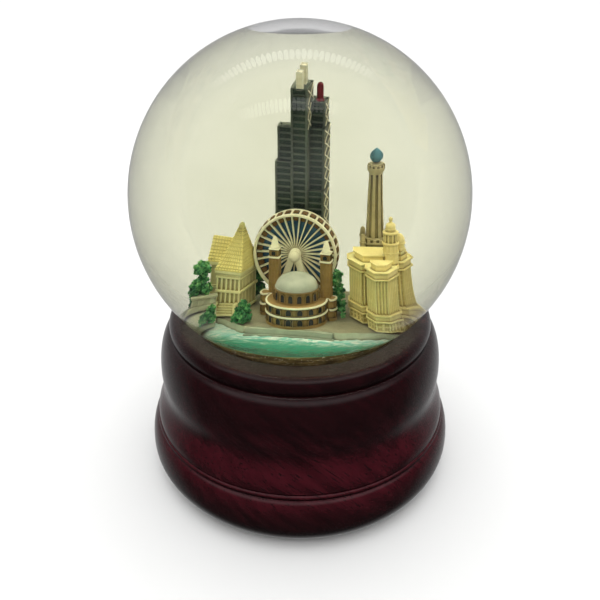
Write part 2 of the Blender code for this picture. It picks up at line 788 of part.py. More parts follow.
def build_stone_tower():
    half = stone_base_width / 2
    step = stone_collar
    tier = stone_base_height * 2 / 3
    levels = [(0, 0), (tier, 0), (tier, step), (tier + step, step), (tier + step, -step)]
    levels += [(stone_base_height - step, -step), (stone_base_height - step, 0), (stone_base_height, 0)]
    tower = stacked("stone_tower", square_plan(half), levels, stone_paint)
    collar_foot = stone_shaft_height - stone_collar_height
    collar_radius = stone_shaft_head + stone_collar
    shaft_floor = stone_base_height / 2
    outline = [(0, stone_shaft_height), (collar_radius, stone_shaft_height)]
    outline += [(collar_radius, collar_foot + stone_collar), (stone_shaft_head, collar_foot)]
    outline += [(stone_shaft_foot, stone_base_height), (stone_shaft_foot, shaft_floor), (0, shaft_floor)]
    shaft = turned("shaft", outline, stone_paint, 8)
    turrets = []
    turret_top = stone_base_height + 3 * stone_collar
    for sx in (-1, 1):
        for sy in (-1, 1):
            turret = rod("turret", stone_turret_radius, shaft_floor, turret_top, stone_paint, 8)
            turrets.append(place(turret, (sx * half, sy * half, 0)))
    fuse(tower, [shaft] + turrets)
    place(tower, (stone_x, stone_y, city_floor))
    bulb = stone_cap_radius
    height = stone_cap_height
    outline = [(0, height), (bulb / 4, height * 0.8), (bulb * 0.75, height * 0.55)]
    outline += [(bulb, height * 0.3), (bulb * 0.85, 0), (0, 0)]
    cap = turned("stone_tower_cap", outline, teal_paint, 12)
    place(cap, (stone_x, stone_y, city_floor + stone_shaft_height + fit_gap))
    return [tower, cap]


def block_plan(spread):
    """Chamfered block with a chamfered bay in the middle of its front."""
    wing = chamfered(block_half_width + spread, block_half_depth + spread, block_chamfer)
    bay = bay_half_width + spread
    front = -block_half_depth - spread
    nose = front - bay_reach
    left_front = wing.index(min(wing, key=lambda p: (round(p[1], 6), p[0])))
    bay_points = [(-bay, front), (-bay, nose + bay_chamfer), (-bay + bay_chamfer, nose),
                  (bay - bay_chamfer, nose), (bay, nose + bay_chamfer), (bay, front)]
    return wing[:left_front + 1] + bay_points + wing[left_front + 1:]


def build_block():
    step, rise = block_moulding, block_moulding_height
    levels = [(0, step / 2), (block_plinth_height, step / 2), (block_plinth_height, step),
              (block_plinth_height + rise, step), (block_plinth_height + rise, 0)]
    for top in (block_height - 2 * rise, block_height):
        levels += [(top - rise, 0), (top - rise, step), (top, step), (top, 0)]
    levels[-1] = (block_height, -block_attic_inset)
    levels += [(block_height + block_attic_height, -block_attic_inset)]
    block = stacked("cream_block", block_plan, levels, cream_paint)
    place(block, (block_x, block_y, city_floor))
    pieces = [block]
    roof = city_floor + block_height + block_attic_height + fit_gap
    for name, x, y, radius, height in (
            ("cupola_large", cupola_x, cupola_y, cupola_radius, cupola_height),
            ("cupola_small", small_cupola_x, small_cupola_y, small_cupola_radius, small_cupola_height)):
        band = radius / 6
        ledge = height * 0.3
        lantern = radius * 0.72
        outline = [(0, height), (radius / 5, height), (radius / 4, height * 0.84)]
        outline += [(lantern, height * 0.7), (lantern, height * 0.6), (lantern + band, height * 0.58)]
        outline += [(lantern + band, height * 0.5), (lantern, height * 0.48), (radius - band, ledge)]
        outline += [(radius, ledge), (radius, ledge - band), (radius - band, ledge - band)]
        outline += [(radius - band, 0), (0, 0)]
        cupola = turned(name, outline, cream_paint, 12)
        pieces.append(place(cupola, (x, y, roof)))
    return pieces


def hip_levels(walls, roof, ridge_inset):
    eave_foot = walls - museum_eave_height
    levels = [(0, 0), (eave_foot, 0), (eave_foot, museum_eave), (walls, museum_eave)]
    return levels + [(walls + roof, -ridge_inset)]


def build_museum():
    pivot = add_pivot("museum_pivot", (museum_x, museum_y, city_floor), museum_yaw)
    ridge = museum_half_depth * 0.92

    def main_plan(spread):
        return rectangle(museum_half_width + spread, museum_half_depth + spread)

    levels = hip_levels(museum_wall_height, museum_roof_height, ridge)
    hall = stacked("museum_hall", main_plan, levels, pale_paint)
    for vert in hall.data.vertices:
        if vert.co.z > museum_wall_height + fit_gap:
            vert.co.x += museum_apex_shift
    front = -museum_half_depth
    porch = box("porch", (-museum_half_width + museum_eave, front - porch_depth, 0),
                (museum_half_width - museum_eave, front + museum_eave, porch_height))
    fuse(hall, [porch])
    place(hall, (0, 0, 0), parent=pivot)

    def wing_plan(spread):
        return rectangle(wing_width / 2 + spread, wing_half_depth + spread)

    levels = hip_levels(wing_wall_height, wing_roof_height, wing_half_depth * 0.92)
    wing = stacked("museum_wing", wing_plan, levels, pale_paint)
    wing_y = museum_half_depth + 2 * museum_eave + fit_gap + wing_half_depth
    place(wing, (wing_x, wing_y, 0), parent=pivot)
    return [hall, wing]


def build_foliage():
    pieces = []
    for name, (spot, half, height) in foliage.items():
        bm = bmesh.new()
        bmesh.ops.create_icosphere(bm, subdivisions=2, radius=1)
        for vert in bm.verts:
            x, y, z = vert.co
            ripple = sin(foliage_waves * x + z) * sin(foliage_waves * y) * cos(foliage_waves * z)
            vert.co *= 1 - foliage_lump + foliage_lump * ripple
            vert.co = (half[0] * vert.co.x, half[1] * vert.co.y, height / 2 * (1 + vert.co.z))
        lowest = min(vert.co.z for vert in bm.verts)
        bmesh.ops.translate(bm, verts=bm.verts, vec=(0, 0, -lowest))
        clump = add_object(name, bm, leaf_paint, smooth=True)
        pieces.append(place(clump, (*spot, city_floor)))
    return pieces


# Bottom cover and fasteners

def screw(name, radius, length, location, head_down=True):
    """Screw whose head lies against the face at location."""
    head_radius = radius * screw_head_ratio
    head = -fit_gap - screw_head_height
    outline = [(0, length), (radius / 2, length), (radius, length - radius), (radius, -fit_gap),
               (head_radius, -fit_gap), (head_radius * 0.9, head), (0, head)]
    turn = (0, 0, 0) if head_down else (pi, 0, 0)
    return place(turned(name, outline, steel, small_segments), location, turn)


def build_cover():
    cover_radius = recess_radius - fit_gap
    cover = rod("bottom_cover", cover_radius, cover_floor, cover_top, fibreboard, turned_segments)
    low = cover_floor - cover_thickness
    high = cover_top + cover_thickness
    holes = [rod("arbor_hole", arbor_radius + 2 * fit_gap, low, high)]
    length = cover_thickness + cover_screw_depth
    for i, (x, y) in enumerate(cover_screw_places()):
        holes.append(place(rod("hole", cover_screw_radius + fit_gap, low, high), (x, y, 0)))
        screw(f"cover_screw_{i + 1}", cover_screw_radius, length, (x, y, cover_floor))
    length = plate_top - cover_floor
    for i, side in enumerate((-1, 1)):
        x, y = movement_screw_x, side * movement_screw_y
        holes.append(place(rod("hole", movement_screw_radius + fit_gap, low, high), (x, y, 0)))
        screw(f"movement_screw_{i + 1}", movement_screw_radius, length, (x, y, cover_floor))
    cut(cover, holes)


# Movement

def gear_outline(teeth, pitch_radius, phase):
    root = pitch_radius - dedendum
    tip = pitch_radius + addendum
    step = 2 * pi / teeth
    corners = ((root, -tooth_share), (tip, -tip_share), (tip, tip_share), (root, tooth_share))
    points = []
    for i in range(teeth):
        middle = phase + i * step
        for radius, share in corners:
            points.append(polar(radius, middle + share * step / 2))
    return points


def along_x(obj, x, y=0.0):
    """Lay a piece built along Z on a shaft along X, at the axle's height."""
    return place(obj, (x, y, axle_height), (0, pi / 2, 0))


def gear(name, teeth, pitch_radius, phase, width, bore, material=None):
    wheel = extruded(name, gear_outline(teeth, pitch_radius, phase), 0, width, material or brass)
    return cut(wheel, [rod("bore", bore, -width, 2 * width)])


def build_bedplate():
    outline = []
    for x, y in circle_points(bedplate_radius):
        clipped = (max(x, bedplate_back), max(-bedplate_half_width, min(bedplate_half_width, y)))
        if clipped not in outline:
            outline.append(clipped)
    plate = extruded("movement_bedplate", outline, plate_floor, plate_top, zinc)
    holes = [rod("arbor_hole", arbor_radius + fit_gap, cover_floor, housing_top)]
    for side in (-1, 1):
        hole = rod("hole", movement_screw_radius + fit_gap, cover_floor, housing_top)
        holes.append(place(hole, (movement_screw_x, side * movement_screw_y, 0)))
    cut(plate, holes)
    bore = arbor_radius + fit_gap
    lid = housing_height / 5
    outline = [(housing_radius - lid, housing_top), (housing_radius, housing_top - lid)]
    outline += [(housing_radius, housing_floor), (bore, housing_floor), (bore, housing_top)]
    turned("spring_housing", outline, brass)


def build_winder():
    key_top = cover_floor - 2 * fit_gap
    hub_radius = arbor_radius + fit_gap + key_hub_wall
    bore_floor = key_floor + 2 * key_hub_wall
    arbor_foot = bore_floor + fit_gap
    arbor_top = drive_disc_top + arbor_overrun
    rod("winding_arbor", arbor_radius, arbor_foot, arbor_top, steel, small_segments)

    bore = arbor_radius + fit_gap
    web_top = drive_disc_top
    outline = [(drive_outer_radius, web_top), (drive_outer_radius, drive_floor)]
    outline += [(bore, drive_floor), (bore, web_top)]
    disc = turned("drive_gear", outline, brass, drive_teeth)
    step = 2 * pi / drive_teeth
    sink = drive_web / 2
    inner = drive_pitch_radius - pinion_width
    outer = drive_outer_radius - fit_gap
    corners = ((inner, -1), (outer, -1), (outer, 1), (inner, 1))
    levels = ((web_top - sink, tooth_share), (drive_pitch_height + addendum, tip_share))
    bm = bmesh.new()
    for i in range(drive_teeth):
        rings = []
        for height, share in levels:
            ends = [polar(radius, i * step + side * share * step / 2) for radius, side in corners]
            rings.append([bm.verts.new((x, y, height)) for x, y in ends])
        low, high = rings
        bm.faces.new(low)
        bm.faces.new(high)
        for a in range(4):
            b = (a + 1) % 4
            bm.faces.new((low[a], low[b], high[b], high[a]))
    fuse(disc, [add_object("drive_teeth", bm, brass)])

    outline = [(0, bore_floor), (bore, bore_floor), (bore, key_top)]
    outline += [(hub_radius, key_top), (hub_radius, key_floor), (0, key_floor)]
    key = turned("winding_key", outline, steel, small_segments)
    corner = key_wing_height / 3
    middle = key_floor + key_wing_height / 2
    wing_x = (hub_radius + key_half_width) / 2 - key_hub_wall / 4
    wing_half = (key_half_width - hub_radius) / 2 + key_hub_wall / 4
    wings = []
    for side in (-1, 1):
        wing = extruded("wing", chamfered(wing_half, key_wing_height / 2, corner), -key_thickness / 2,
                        key_thickness / 2, steel)
        wings.append(place(wing, (side * wing_x, 0, middle), (pi / 2, 0, 0)))
    fuse(key, wings)


def build_cylinder():
    half_step = pi / cylinder_pinion_teeth
    start = drive_pitch_radius - pinion_width / 2
    shaft_end = plate_outer_x + post_thickness
    teeth = gear_outline(cylinder_pinion_teeth, cylinder_pitch_radius, half_step)
    arbor = extruded("cylinder_arbor", teeth, 0, pinion_width, steel)
    fuse(arbor, [rod("shaft", shaft_radius, -pinion_width / 2, shaft_end - start)])
    along_x(arbor, start)

    bore = shaft_radius + fit_gap
    outline = [(cylinder_radius, cylinder_length), (cylinder_radius, 0), (bore, 0), (bore, cylinder_length)]
    drum = turned("music_cylinder", outline, brass)
    pins = bmesh.new()
    turn = 2 * pi * 5 / 13
    size = Matrix.Diagonal((2 * pin_height, pin_width, pin_width, 1))
    for note in range(note_count):
        spin = Matrix.Rotation(turn * note, 4, "Z")
        spot = Matrix.Translation((cylinder_radius, 0, notes_x - cylinder_x + note * note_pitch))
        bmesh.ops.create_cube(pins, size=1, matrix=spin @ spot @ size)
    fuse(drum, [add_object("pins", pins, brass)])
    along_x(drum, cylinder_x)

    wheel = gear("cylinder_wheel", cylinder_wheel_teeth, wheel_pitch_radius, -pi / 2, wheel_width, bore)
    along_x(wheel, cylinder_wheel_x)


def build_train():
    half_step = pi / train_pinion_teeth
    shaft_end = plate_outer_x + post_thickness - cylinder_wheel_x
    teeth = gear_outline(train_pinion_teeth, train_pitch_radius, pi / 2 + half_step)
    arbor = extruded("train_arbor", teeth, 0, wheel_width, steel)
    fuse(arbor, [rod("shaft", shaft_radius, train_post_x - cylinder_wheel_x, shaft_end)])
    along_x(arbor, cylinder_wheel_x, train_y)
    bore = shaft_radius + fit_gap
    wheel = gear("worm_wheel", worm_wheel_teeth, worm_wheel_pitch_radius, -pi / 2, wheel_width, bore)
    along_x(wheel, worm_wheel_x, train_y)


def post(name, x, low_y, high_y, axles):
    """Upright plate on the bedplate with a bearing hole for each shaft that it carries."""
    plate = box(name, (x, low_y, plate_top + fit_gap),
                (x + post_thickness, high_y, axle_height + post_margin), zinc)
    bores = []
    for y in axles:
        bore = rod("bore", shaft_radius + fit_gap, -post_thickness, 2 * post_thickness)
        bores.append(along_x(bore, x, y))
    return cut(plate, bores)


def build_posts():
    post("cylinder_post", post_inner_x, -post_margin, post_margin, [0])
    post("train_plate", plate_outer_x, train_y - post_margin, post_margin, [0, train_y])
    post("train_post", train_post_x, train_y - post_margin, train_y + post_margin, [train_y])


def build_comb():
    left = notes_x - note_pitch / 2
    outline = [(left, comb_back_y), (left, comb_tip_y)]
    for note in range(1, note_count):
        x = left + note * note_pitch
        outline += [(x - comb_slot / 2, comb_tip_y), (x - comb_slot / 2, comb_root_y),
                    (x + comb_slot / 2, comb_root_y), (x + comb_slot / 2, comb_tip_y)]
    right = left + note_count * note_pitch
    outline += [(right, comb_tip_y), (right, comb_back_y)]
    comb = extruded("comb", outline, comb_floor, comb_floor + comb_thickness, steel)
    heel_y = comb_root_y + comb_heel / 2
    block_top = comb_floor - fit_gap
    block_front = comb_root_y + fit_gap
    block = box("comb_block", (left, block_front, plate_top + fit_gap), (right, comb_back_y, block_top), zinc)
    depth = comb_thickness + comb_heel / 2
    low = comb_floor - comb_heel
    high = comb_floor + comb_heel
    for i, x in enumerate((left + comb_heel / 2, right - comb_heel / 2)):
        for target in (comb, block):
            cut(target, [place(rod("hole", comb_screw_radius + fit_gap, low, high), (x, heel_y, 0))])
        screw(f"comb_screw_{i + 1}", comb_screw_radius, depth, (x, heel_y, comb_floor + comb_thickness),
              head_down=False)


def worm_thread():
    """Helical ridge about Z with a gap facing +Y at height 0."""
    bm = bmesh.new()
    inner = worm_core_radius - fit_gap / 2
    outer = worm_pitch_radius + addendum
    start = worm_pitch * (1 / 4 - worm_turns // 2)
    profile = [(inner, -tooth_share), (outer, -tip_share), (outer, tip_share), (inner, tooth_share)]
    verts = [bm.verts.new((r, 0, start + share * worm_pitch / 2)) for r, share in profile]
    edges = [bm.edges.new((verts[i - 1], verts[i])) for i in range(len(verts))]
    steps = worm_turns * worm_turn_steps
    bmesh.ops.spin(bm, geom=verts + edges, axis=(0, 0, 1), cent=(0, 0, 0), angle=2 * pi * worm_turns,
                   steps=steps, dvec=(0, 0, worm_pitch / worm_turn_steps))
    bmesh.ops.holes_fill(bm, edges=[edge for edge in bm.edges if edge.is_boundary], sides=len(profile))
    return add_object("thread", bm, steel)


def build_governor():
    spot = (worm_x, worm_y, axle_height)
    arm_floor = plate_top + fit_gap
    worm_half = worm_pitch * (worm_turns / 2 + 1)
    fan_floor = max(worm_half, worm_wheel_pitch_radius + addendum) + fit_gap
    arm_ceiling = axle_height + fan_floor + fan_height + fit_gap
    foot = arm_floor + fit_gap - axle_height
    head = arm_ceiling + governor_arm - fit_gap - axle_height
    worm = rod("governor_worm", worm_core_radius, foot, head, steel, worm_turn_steps)
    fuse(worm, [worm_thread()])
    place(worm, spot)

    hub_radius = worm_core_radius + 3 * fit_gap
    fan = rod("air_fan", hub_radius, 0, fan_height, plastic, 12)
    blade = box("blade", (-fan_radius, -fan_thickness / 2, fit_gap), (fan_radius, fan_thickness / 2,
                                                                     fan_height - fit_gap))
    fuse(fan, [blade])
    bore = rod("bore", worm_core_radius + fit_gap, -fan_height, 2 * fan_height, steel, worm_turn_steps)
    cut(fan, [bore])
    place(fan, (worm_x, worm_y, axle_height + fan_floor))

    back = fan_radius + fit_gap + governor_arm
    reach = worm_core_radius + governor_arm
    top = arm_ceiling + governor_arm
    outline = [(-back, arm_floor), (reach, arm_floor), (reach, arm_floor + governor_arm),
               (-back + governor_arm, arm_floor + governor_arm), (-back + governor_arm, arm_ceiling),
               (reach, arm_ceiling), (reach, top), (-back, top)]
    half = governor_width / 2
    bracket = extruded("governor_bracket", outline, -half, half, zinc)
    place(bracket, (worm_x, worm_y, 0), (pi / 2, 0, pi / 2))
    pivot_radius = worm_core_radius + fit_gap
    pivot_hole = rod("pivot_hole", pivot_radius, 0, top + governor_arm, steel, worm_turn_steps)
    cut(bracket, [place(pivot_hole, (worm_x, worm_y, 0))])


build_base()
build_globe()
city = [*build_hall(), *build_wheel(), *build_stepped_tower(), *build_stone_tower(), *build_block(),
        *build_museum(), *build_foliage()]
build_ground()
build_liquid(city)
build_cover()
build_bedplate()
build_winder()
build_cylinder()
build_train()
build_posts()
build_comb()
build_governor()
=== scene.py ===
import json
from math import acos, atan2, cos, hypot, pi, radians, sin, sqrt

import bmesh
import bpy
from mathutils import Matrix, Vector

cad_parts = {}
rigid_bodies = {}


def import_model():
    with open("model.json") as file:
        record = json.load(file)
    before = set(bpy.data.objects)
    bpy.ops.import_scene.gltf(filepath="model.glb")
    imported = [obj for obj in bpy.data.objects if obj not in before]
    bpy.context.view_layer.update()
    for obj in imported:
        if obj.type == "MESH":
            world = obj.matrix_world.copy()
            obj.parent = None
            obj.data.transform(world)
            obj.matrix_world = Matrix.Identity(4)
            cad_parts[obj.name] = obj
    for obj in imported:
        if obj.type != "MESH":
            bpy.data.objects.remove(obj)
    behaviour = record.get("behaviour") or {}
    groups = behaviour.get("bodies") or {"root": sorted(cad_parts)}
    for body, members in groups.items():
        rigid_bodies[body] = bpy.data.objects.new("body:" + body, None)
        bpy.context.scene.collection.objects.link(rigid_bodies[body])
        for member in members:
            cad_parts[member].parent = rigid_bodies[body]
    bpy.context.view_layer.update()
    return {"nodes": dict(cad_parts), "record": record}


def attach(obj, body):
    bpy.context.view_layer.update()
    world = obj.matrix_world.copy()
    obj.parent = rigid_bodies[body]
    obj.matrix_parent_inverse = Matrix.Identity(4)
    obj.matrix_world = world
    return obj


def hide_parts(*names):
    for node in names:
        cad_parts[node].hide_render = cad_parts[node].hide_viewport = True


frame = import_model()
mm = 0.001


# modelling helpers
def objectMode():
    if bpy.context.mode != "OBJECT":
        bpy.ops.object.mode_set(mode="OBJECT")
    bpy.ops.object.select_all(action="DESELECT")


def startPiece(name, finishes):  # an empty mesh with its finishes, open in edit mode
    objectMode()
    bpy.ops.mesh.primitive_plane_add(size=mm)
    piece = bpy.context.object
    piece.name = piece.data.name = name
    for finish in finishes:
        piece.data.materials.append(finish)
    bpy.ops.object.mode_set(mode="EDIT")
    bpy.ops.mesh.delete(type="VERT")
    return piece


def narrow(kind, test):  # keeps what passes the test out of the present selection
    bpy.ops.mesh.select_mode(type=kind)
    mesh = bmesh.from_edit_mesh(bpy.context.edit_object.data)
    items = {"VERT": mesh.verts, "EDGE": mesh.edges, "FACE": mesh.faces}[kind]
    chosen = [item for item in items if item.select and test(item)]
    bpy.ops.mesh.select_all(action="DESELECT")
    for item in chosen:
        item.select_set(True)
    mesh.select_flush_mode()
    bmesh.update_edit_mesh(bpy.context.edit_object.data)
    return len(chosen)


def giveSlot(index):  # gives the selected faces one of the piece's finishes
    bpy.context.object.active_material_index = index
    bpy.ops.object.material_slot_assign()


def addTurned(profile, steps, closed=False):  # profile of (radius, height) in mm, spun round Z
    bpy.ops.mesh.select_all(action="DESELECT")
    bpy.ops.mesh.select_mode(type="VERT")
    (firstRadius, firstHeight) = profile[0]
    bpy.ops.mesh.primitive_plane_add(size=mm, location=(firstRadius * mm, 0, firstHeight * mm))
    bpy.ops.mesh.merge(type="CENTER")
    ends = profile[1:] + profile[:1] if closed else profile[1:]
    for (r0, z0), (r1, z1) in zip(profile, ends):
        bpy.ops.mesh.extrude_vertices_move(TRANSFORM_OT_translate={"value": ((r1 - r0) * mm, 0, (z1 - z0) * mm)})
    bpy.ops.mesh.select_linked()
    bpy.ops.mesh.spin(steps=steps, angle=2 * pi, center=(0, 0, 0), axis=(0, 0, 1))
    bpy.ops.mesh.select_linked()
    bpy.ops.mesh.remove_doubles(threshold=0.002 * mm)
    bpy.ops.mesh.normals_make_consistent(inside=False)


def endPiece(piece, node, angle):  # closes edit mode and ties the piece to the frame
    if bpy.context.mode == "OBJECT":
        bpy.ops.object.mode_set(mode="EDIT")
    bpy.ops.mesh.select_all(action="SELECT")
    bpy.ops.mesh.remove_doubles(threshold=0.0005 * mm)
    objectMode()
    piece.select_set(True)
    bpy.context.view_layer.objects.active = piece
    bpy.ops.object.shade_smooth_by_angle(angle=radians(angle))
    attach(piece, "globe")
    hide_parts(node)
    print("made", piece.name, len(piece.data.polygons), "faces")


# shader helpers
def feed(socket, item):
    if isinstance(item, Value):
        socket.id_data.links.new(item.socket, socket)
    else:
        socket.default_value = item


class Value:  # a socket that takes part in sums
    def __init__(self, socket):
        self.socket = socket

    def math(self, operation, *items):
        node = self.socket.id_data.nodes.new("ShaderNodeMath")
        node.operation = operation
        for socket, item in zip(node.inputs, items):
            feed(socket, item)
        return Value(node.outputs[0])

    def __add__(self, other):
        return self.math("ADD", self, other)

    def __sub__(self, other):
        return self.math("SUBTRACT", self, other)

    def __rsub__(self, other):
        return self.math("SUBTRACT", other, self)

    def __mul__(self, other):
        return self.math("MULTIPLY", self, other)

    def __truediv__(self, other):
        return self.math("DIVIDE", self, other)

    def __gt__(self, other):
        return self.math("GREATER_THAN", self, other)

    __radd__ = __add__
    __rmul__ = __mul__

    def clamp(self):
        return self.math("MINIMUM", self.math("MAXIMUM", self, 0.0), 1.0)

    def between(self, low, high):  # 0 at low, 1 at high
        return ((self - low) / (high - low)).clamp()


class Finish:  # a material on Object coordinates
    def __init__(self, name, tree=None):
        if tree is None:
            self.material = bpy.data.materials.new(name)
            self.material.use_nodes = True
            tree = self.material.node_tree
            self.shader = tree.nodes["Principled BSDF"]
        self.tree = tree

    def add(self, kind, settings=None, inputs=None, output=0):
        node = self.tree.nodes.new("ShaderNode" + kind)
        for key, item in (settings or {}).items():
            if key == "stops":
                elements = node.color_ramp.elements
                while len(elements) < len(item):
                    elements.new(1.0)
                for element, (spot, colour) in zip(elements, item):
                    element.position = spot
                    element.color = tuple(colour) + (1,)
            else:
                setattr(node, key, item)
        for key, item in (inputs or {}).items():
            feed(node.inputs[key], item)
        return Value(node.outputs[output])

    def place(self, scale=(1, 1, 1), turn=(0, 0, 0), shift=(0, 0, 0)):
        spot = self.add("TexCoord", output="Object")
        return self.add("Mapping", {}, {"Vector": spot, "Scale": scale, "Rotation": turn, "Location": shift})

    def axes(self):
        split = self.add("SeparateXYZ", {}, {0: self.add("TexCoord", output="Object")}).socket.node
        return [Value(output) for output in split.outputs]

    def noise(self, place, scale, detail=3.0, rough=0.55):
        return self.add("TexNoise", {}, {"Vector": place, "Scale": scale, "Detail": detail, "Roughness": rough})

    def ramp(self, value, *stops):
        return self.add("ValToRGB", {"stops": stops}, {0: value})

    def mix(self, share, first, second, blend="MIX"):
        colours = [c if isinstance(c, Value) else tuple(c) + (1,) for c in (first, second)]
        settings = {"data_type": "RGBA", "blend_type": blend}
        return self.add("Mix", settings, {0: share, 6: colours[0], 7: colours[1]}, output=2)

    def bump(self, height, strength, depth):
        made = self.add("Bump", {}, {"Height": height, "Strength": strength, "Distance": depth * mm})
        feed(self.shader.inputs["Normal"], made)

    def set(self, **items):  # BaseColor=..., Roughness=... on the shader's own sockets
        sockets = {socket.name.replace(" ", ""): socket for socket in self.shader.inputs}
        for key, item in items.items():
            if isinstance(item, tuple) and len(item) == 3:
                item = item + (1,)
            feed(sockets[key], item)
        return self


print("helpers ready")


# shapes that the castings share, all sizes in mm
def spot(x, y, z):
    return (x * mm, y * mm, z * mm)


def addBlock(low, high):
    size = [(b - a) * mm for a, b in zip(low, high)]
    middle = [(a + b) / 2 * mm for a, b in zip(low, high)]
    bpy.ops.mesh.primitive_cube_add(size=1, location=middle, scale=size)


def addPrism(plan, low, high):  # an outline of (x, y) points, raised from one height to another
    bpy.ops.mesh.select_mode(type="VERT")
    bpy.ops.mesh.primitive_plane_add(size=mm, location=spot(plan[0][0], plan[0][1], low))
    bpy.ops.mesh.merge(type="CENTER")
    for (x0, y0), (x1, y1) in zip(plan, plan[1:] + plan[:1]):
        bpy.ops.mesh.extrude_vertices_move(TRANSFORM_OT_translate={"value": spot(x1 - x0, y1 - y0, 0)})
    bpy.ops.mesh.select_linked()
    bpy.ops.mesh.remove_doubles(threshold=0.002 * mm)
    bpy.ops.mesh.edge_face_add()
    pullFaces(0, 0, high - low)
    bpy.ops.mesh.select_linked()
    bpy.ops.mesh.normals_make_consistent(inside=False)


def along(edge, axis):
    return abs((edge.verts[1].co - edge.verts[0].co).normalized()[axis]) > 0.99


def level(edge):
    return abs(edge.verts[0].co.z - edge.verts[1].co.z) < 0.01 * mm


def bothEnds(edge, axis, least):  # both ends of an edge lie past a place, in mm
    return all(vert.co[axis] > least * mm for vert in edge.verts)


def cutEvenly(axis, count):  # cuts the selected shape into equal strips along X, Y or Z
    narrow("EDGE", lambda edge: along(edge, axis))
    bpy.ops.mesh.subdivide(number_cuts=count - 1)
    bpy.ops.mesh.select_linked()


def sinkFaces(test, border, depth, slot=None):  # panels or windows: each face inset and pushed in
    if narrow("FACE", test):
        bpy.ops.mesh.inset(use_individual=True, thickness=border * mm, depth=-depth * mm)
        if slot is not None:
            giveSlot(slot)
    bpy.ops.mesh.select_linked()


def roundEdges(test, width, segments=2):
    narrow("EDGE", test)
    bpy.ops.mesh.bevel(offset=width * mm, segments=segments, affect="EDGES")
    bpy.ops.mesh.select_linked()


def addSlab(low, high, slot, soft):  # a block with all its edges rounded
    addBlock(low, high)
    giveSlot(slot)
    roundEdges(lambda edge: True, soft)


def shiftSelected(x, y, z):
    bpy.ops.transform.translate(value=spot(x, y, z))


def pullFaces(x, y, z):  # extrudes the selected faces
    bpy.ops.mesh.extrude_region_move(TRANSFORM_OT_translate={"value": spot(x, y, z)})


def upright(face):
    return abs(face.normal.z) < 0.3


def facesUp(face):
    return face.normal.z > 0.95


# a framed opening that faces -Y
def addArch(x, y, z, width, height, proud=0.24, border=0.1, depth=0.15, slot=1, surround=0):
    rise = z + height - width / 2
    bpy.ops.mesh.select_mode(type="VERT")
    bpy.ops.mesh.primitive_circle_add(vertices=12, radius=width / 2 * mm, fill_type="NGON",
                                      location=spot(x, y + 0.1, rise), rotation=(pi / 2, 0, 0))
    narrow("VERT", lambda vert: vert.co.z < (rise - 0.01) * mm)
    bpy.ops.transform.resize(value=(1.12, 1, 0), center_override=spot(x, y, z))
    bpy.ops.mesh.select_linked()
    bpy.ops.mesh.select_mode(type="FACE")
    pullFaces(0, -0.1 - proud, 0)
    bpy.ops.mesh.select_linked()
    giveSlot(surround)
    narrow("FACE", lambda face: face.normal.y < -0.9)
    bpy.ops.mesh.inset(thickness=border * mm, depth=0)
    pullFaces(0, depth, 0)
    giveSlot(slot)
    bpy.ops.mesh.select_linked()


def turnSelected(angle, centre, axis="Z"):  # counterclockwise, seen from the axis's tip
    bpy.ops.transform.rotate(value=-angle, orient_axis=axis, center_override=spot(*centre))


def fanCopies(count, span):  # copies of the selected shape, clockwise round Z
    bpy.ops.mesh.spin(steps=count - 1, dupli=True, angle=span, center=(0, 0, 0), axis=(0, 0, 1))


def ringCopies(count):
    fanCopies(count, 2 * pi * (count - 1) / count)


def placePiece(piece, where, turn=(0, 0, 0)):
    objectMode()
    piece.select_set(True)
    bpy.context.view_layer.objects.active = piece
    piece.location = spot(*where)
    piece.rotation_euler = turn
    bpy.ops.object.transform_apply(location=True, rotation=True, scale=True)


def copyPiece(piece, name):
    objectMode()
    copied = piece.copy()
    copied.data = piece.data.copy()
    copied.name = copied.data.name = name
    bpy.context.collection.objects.link(copied)
    return copied


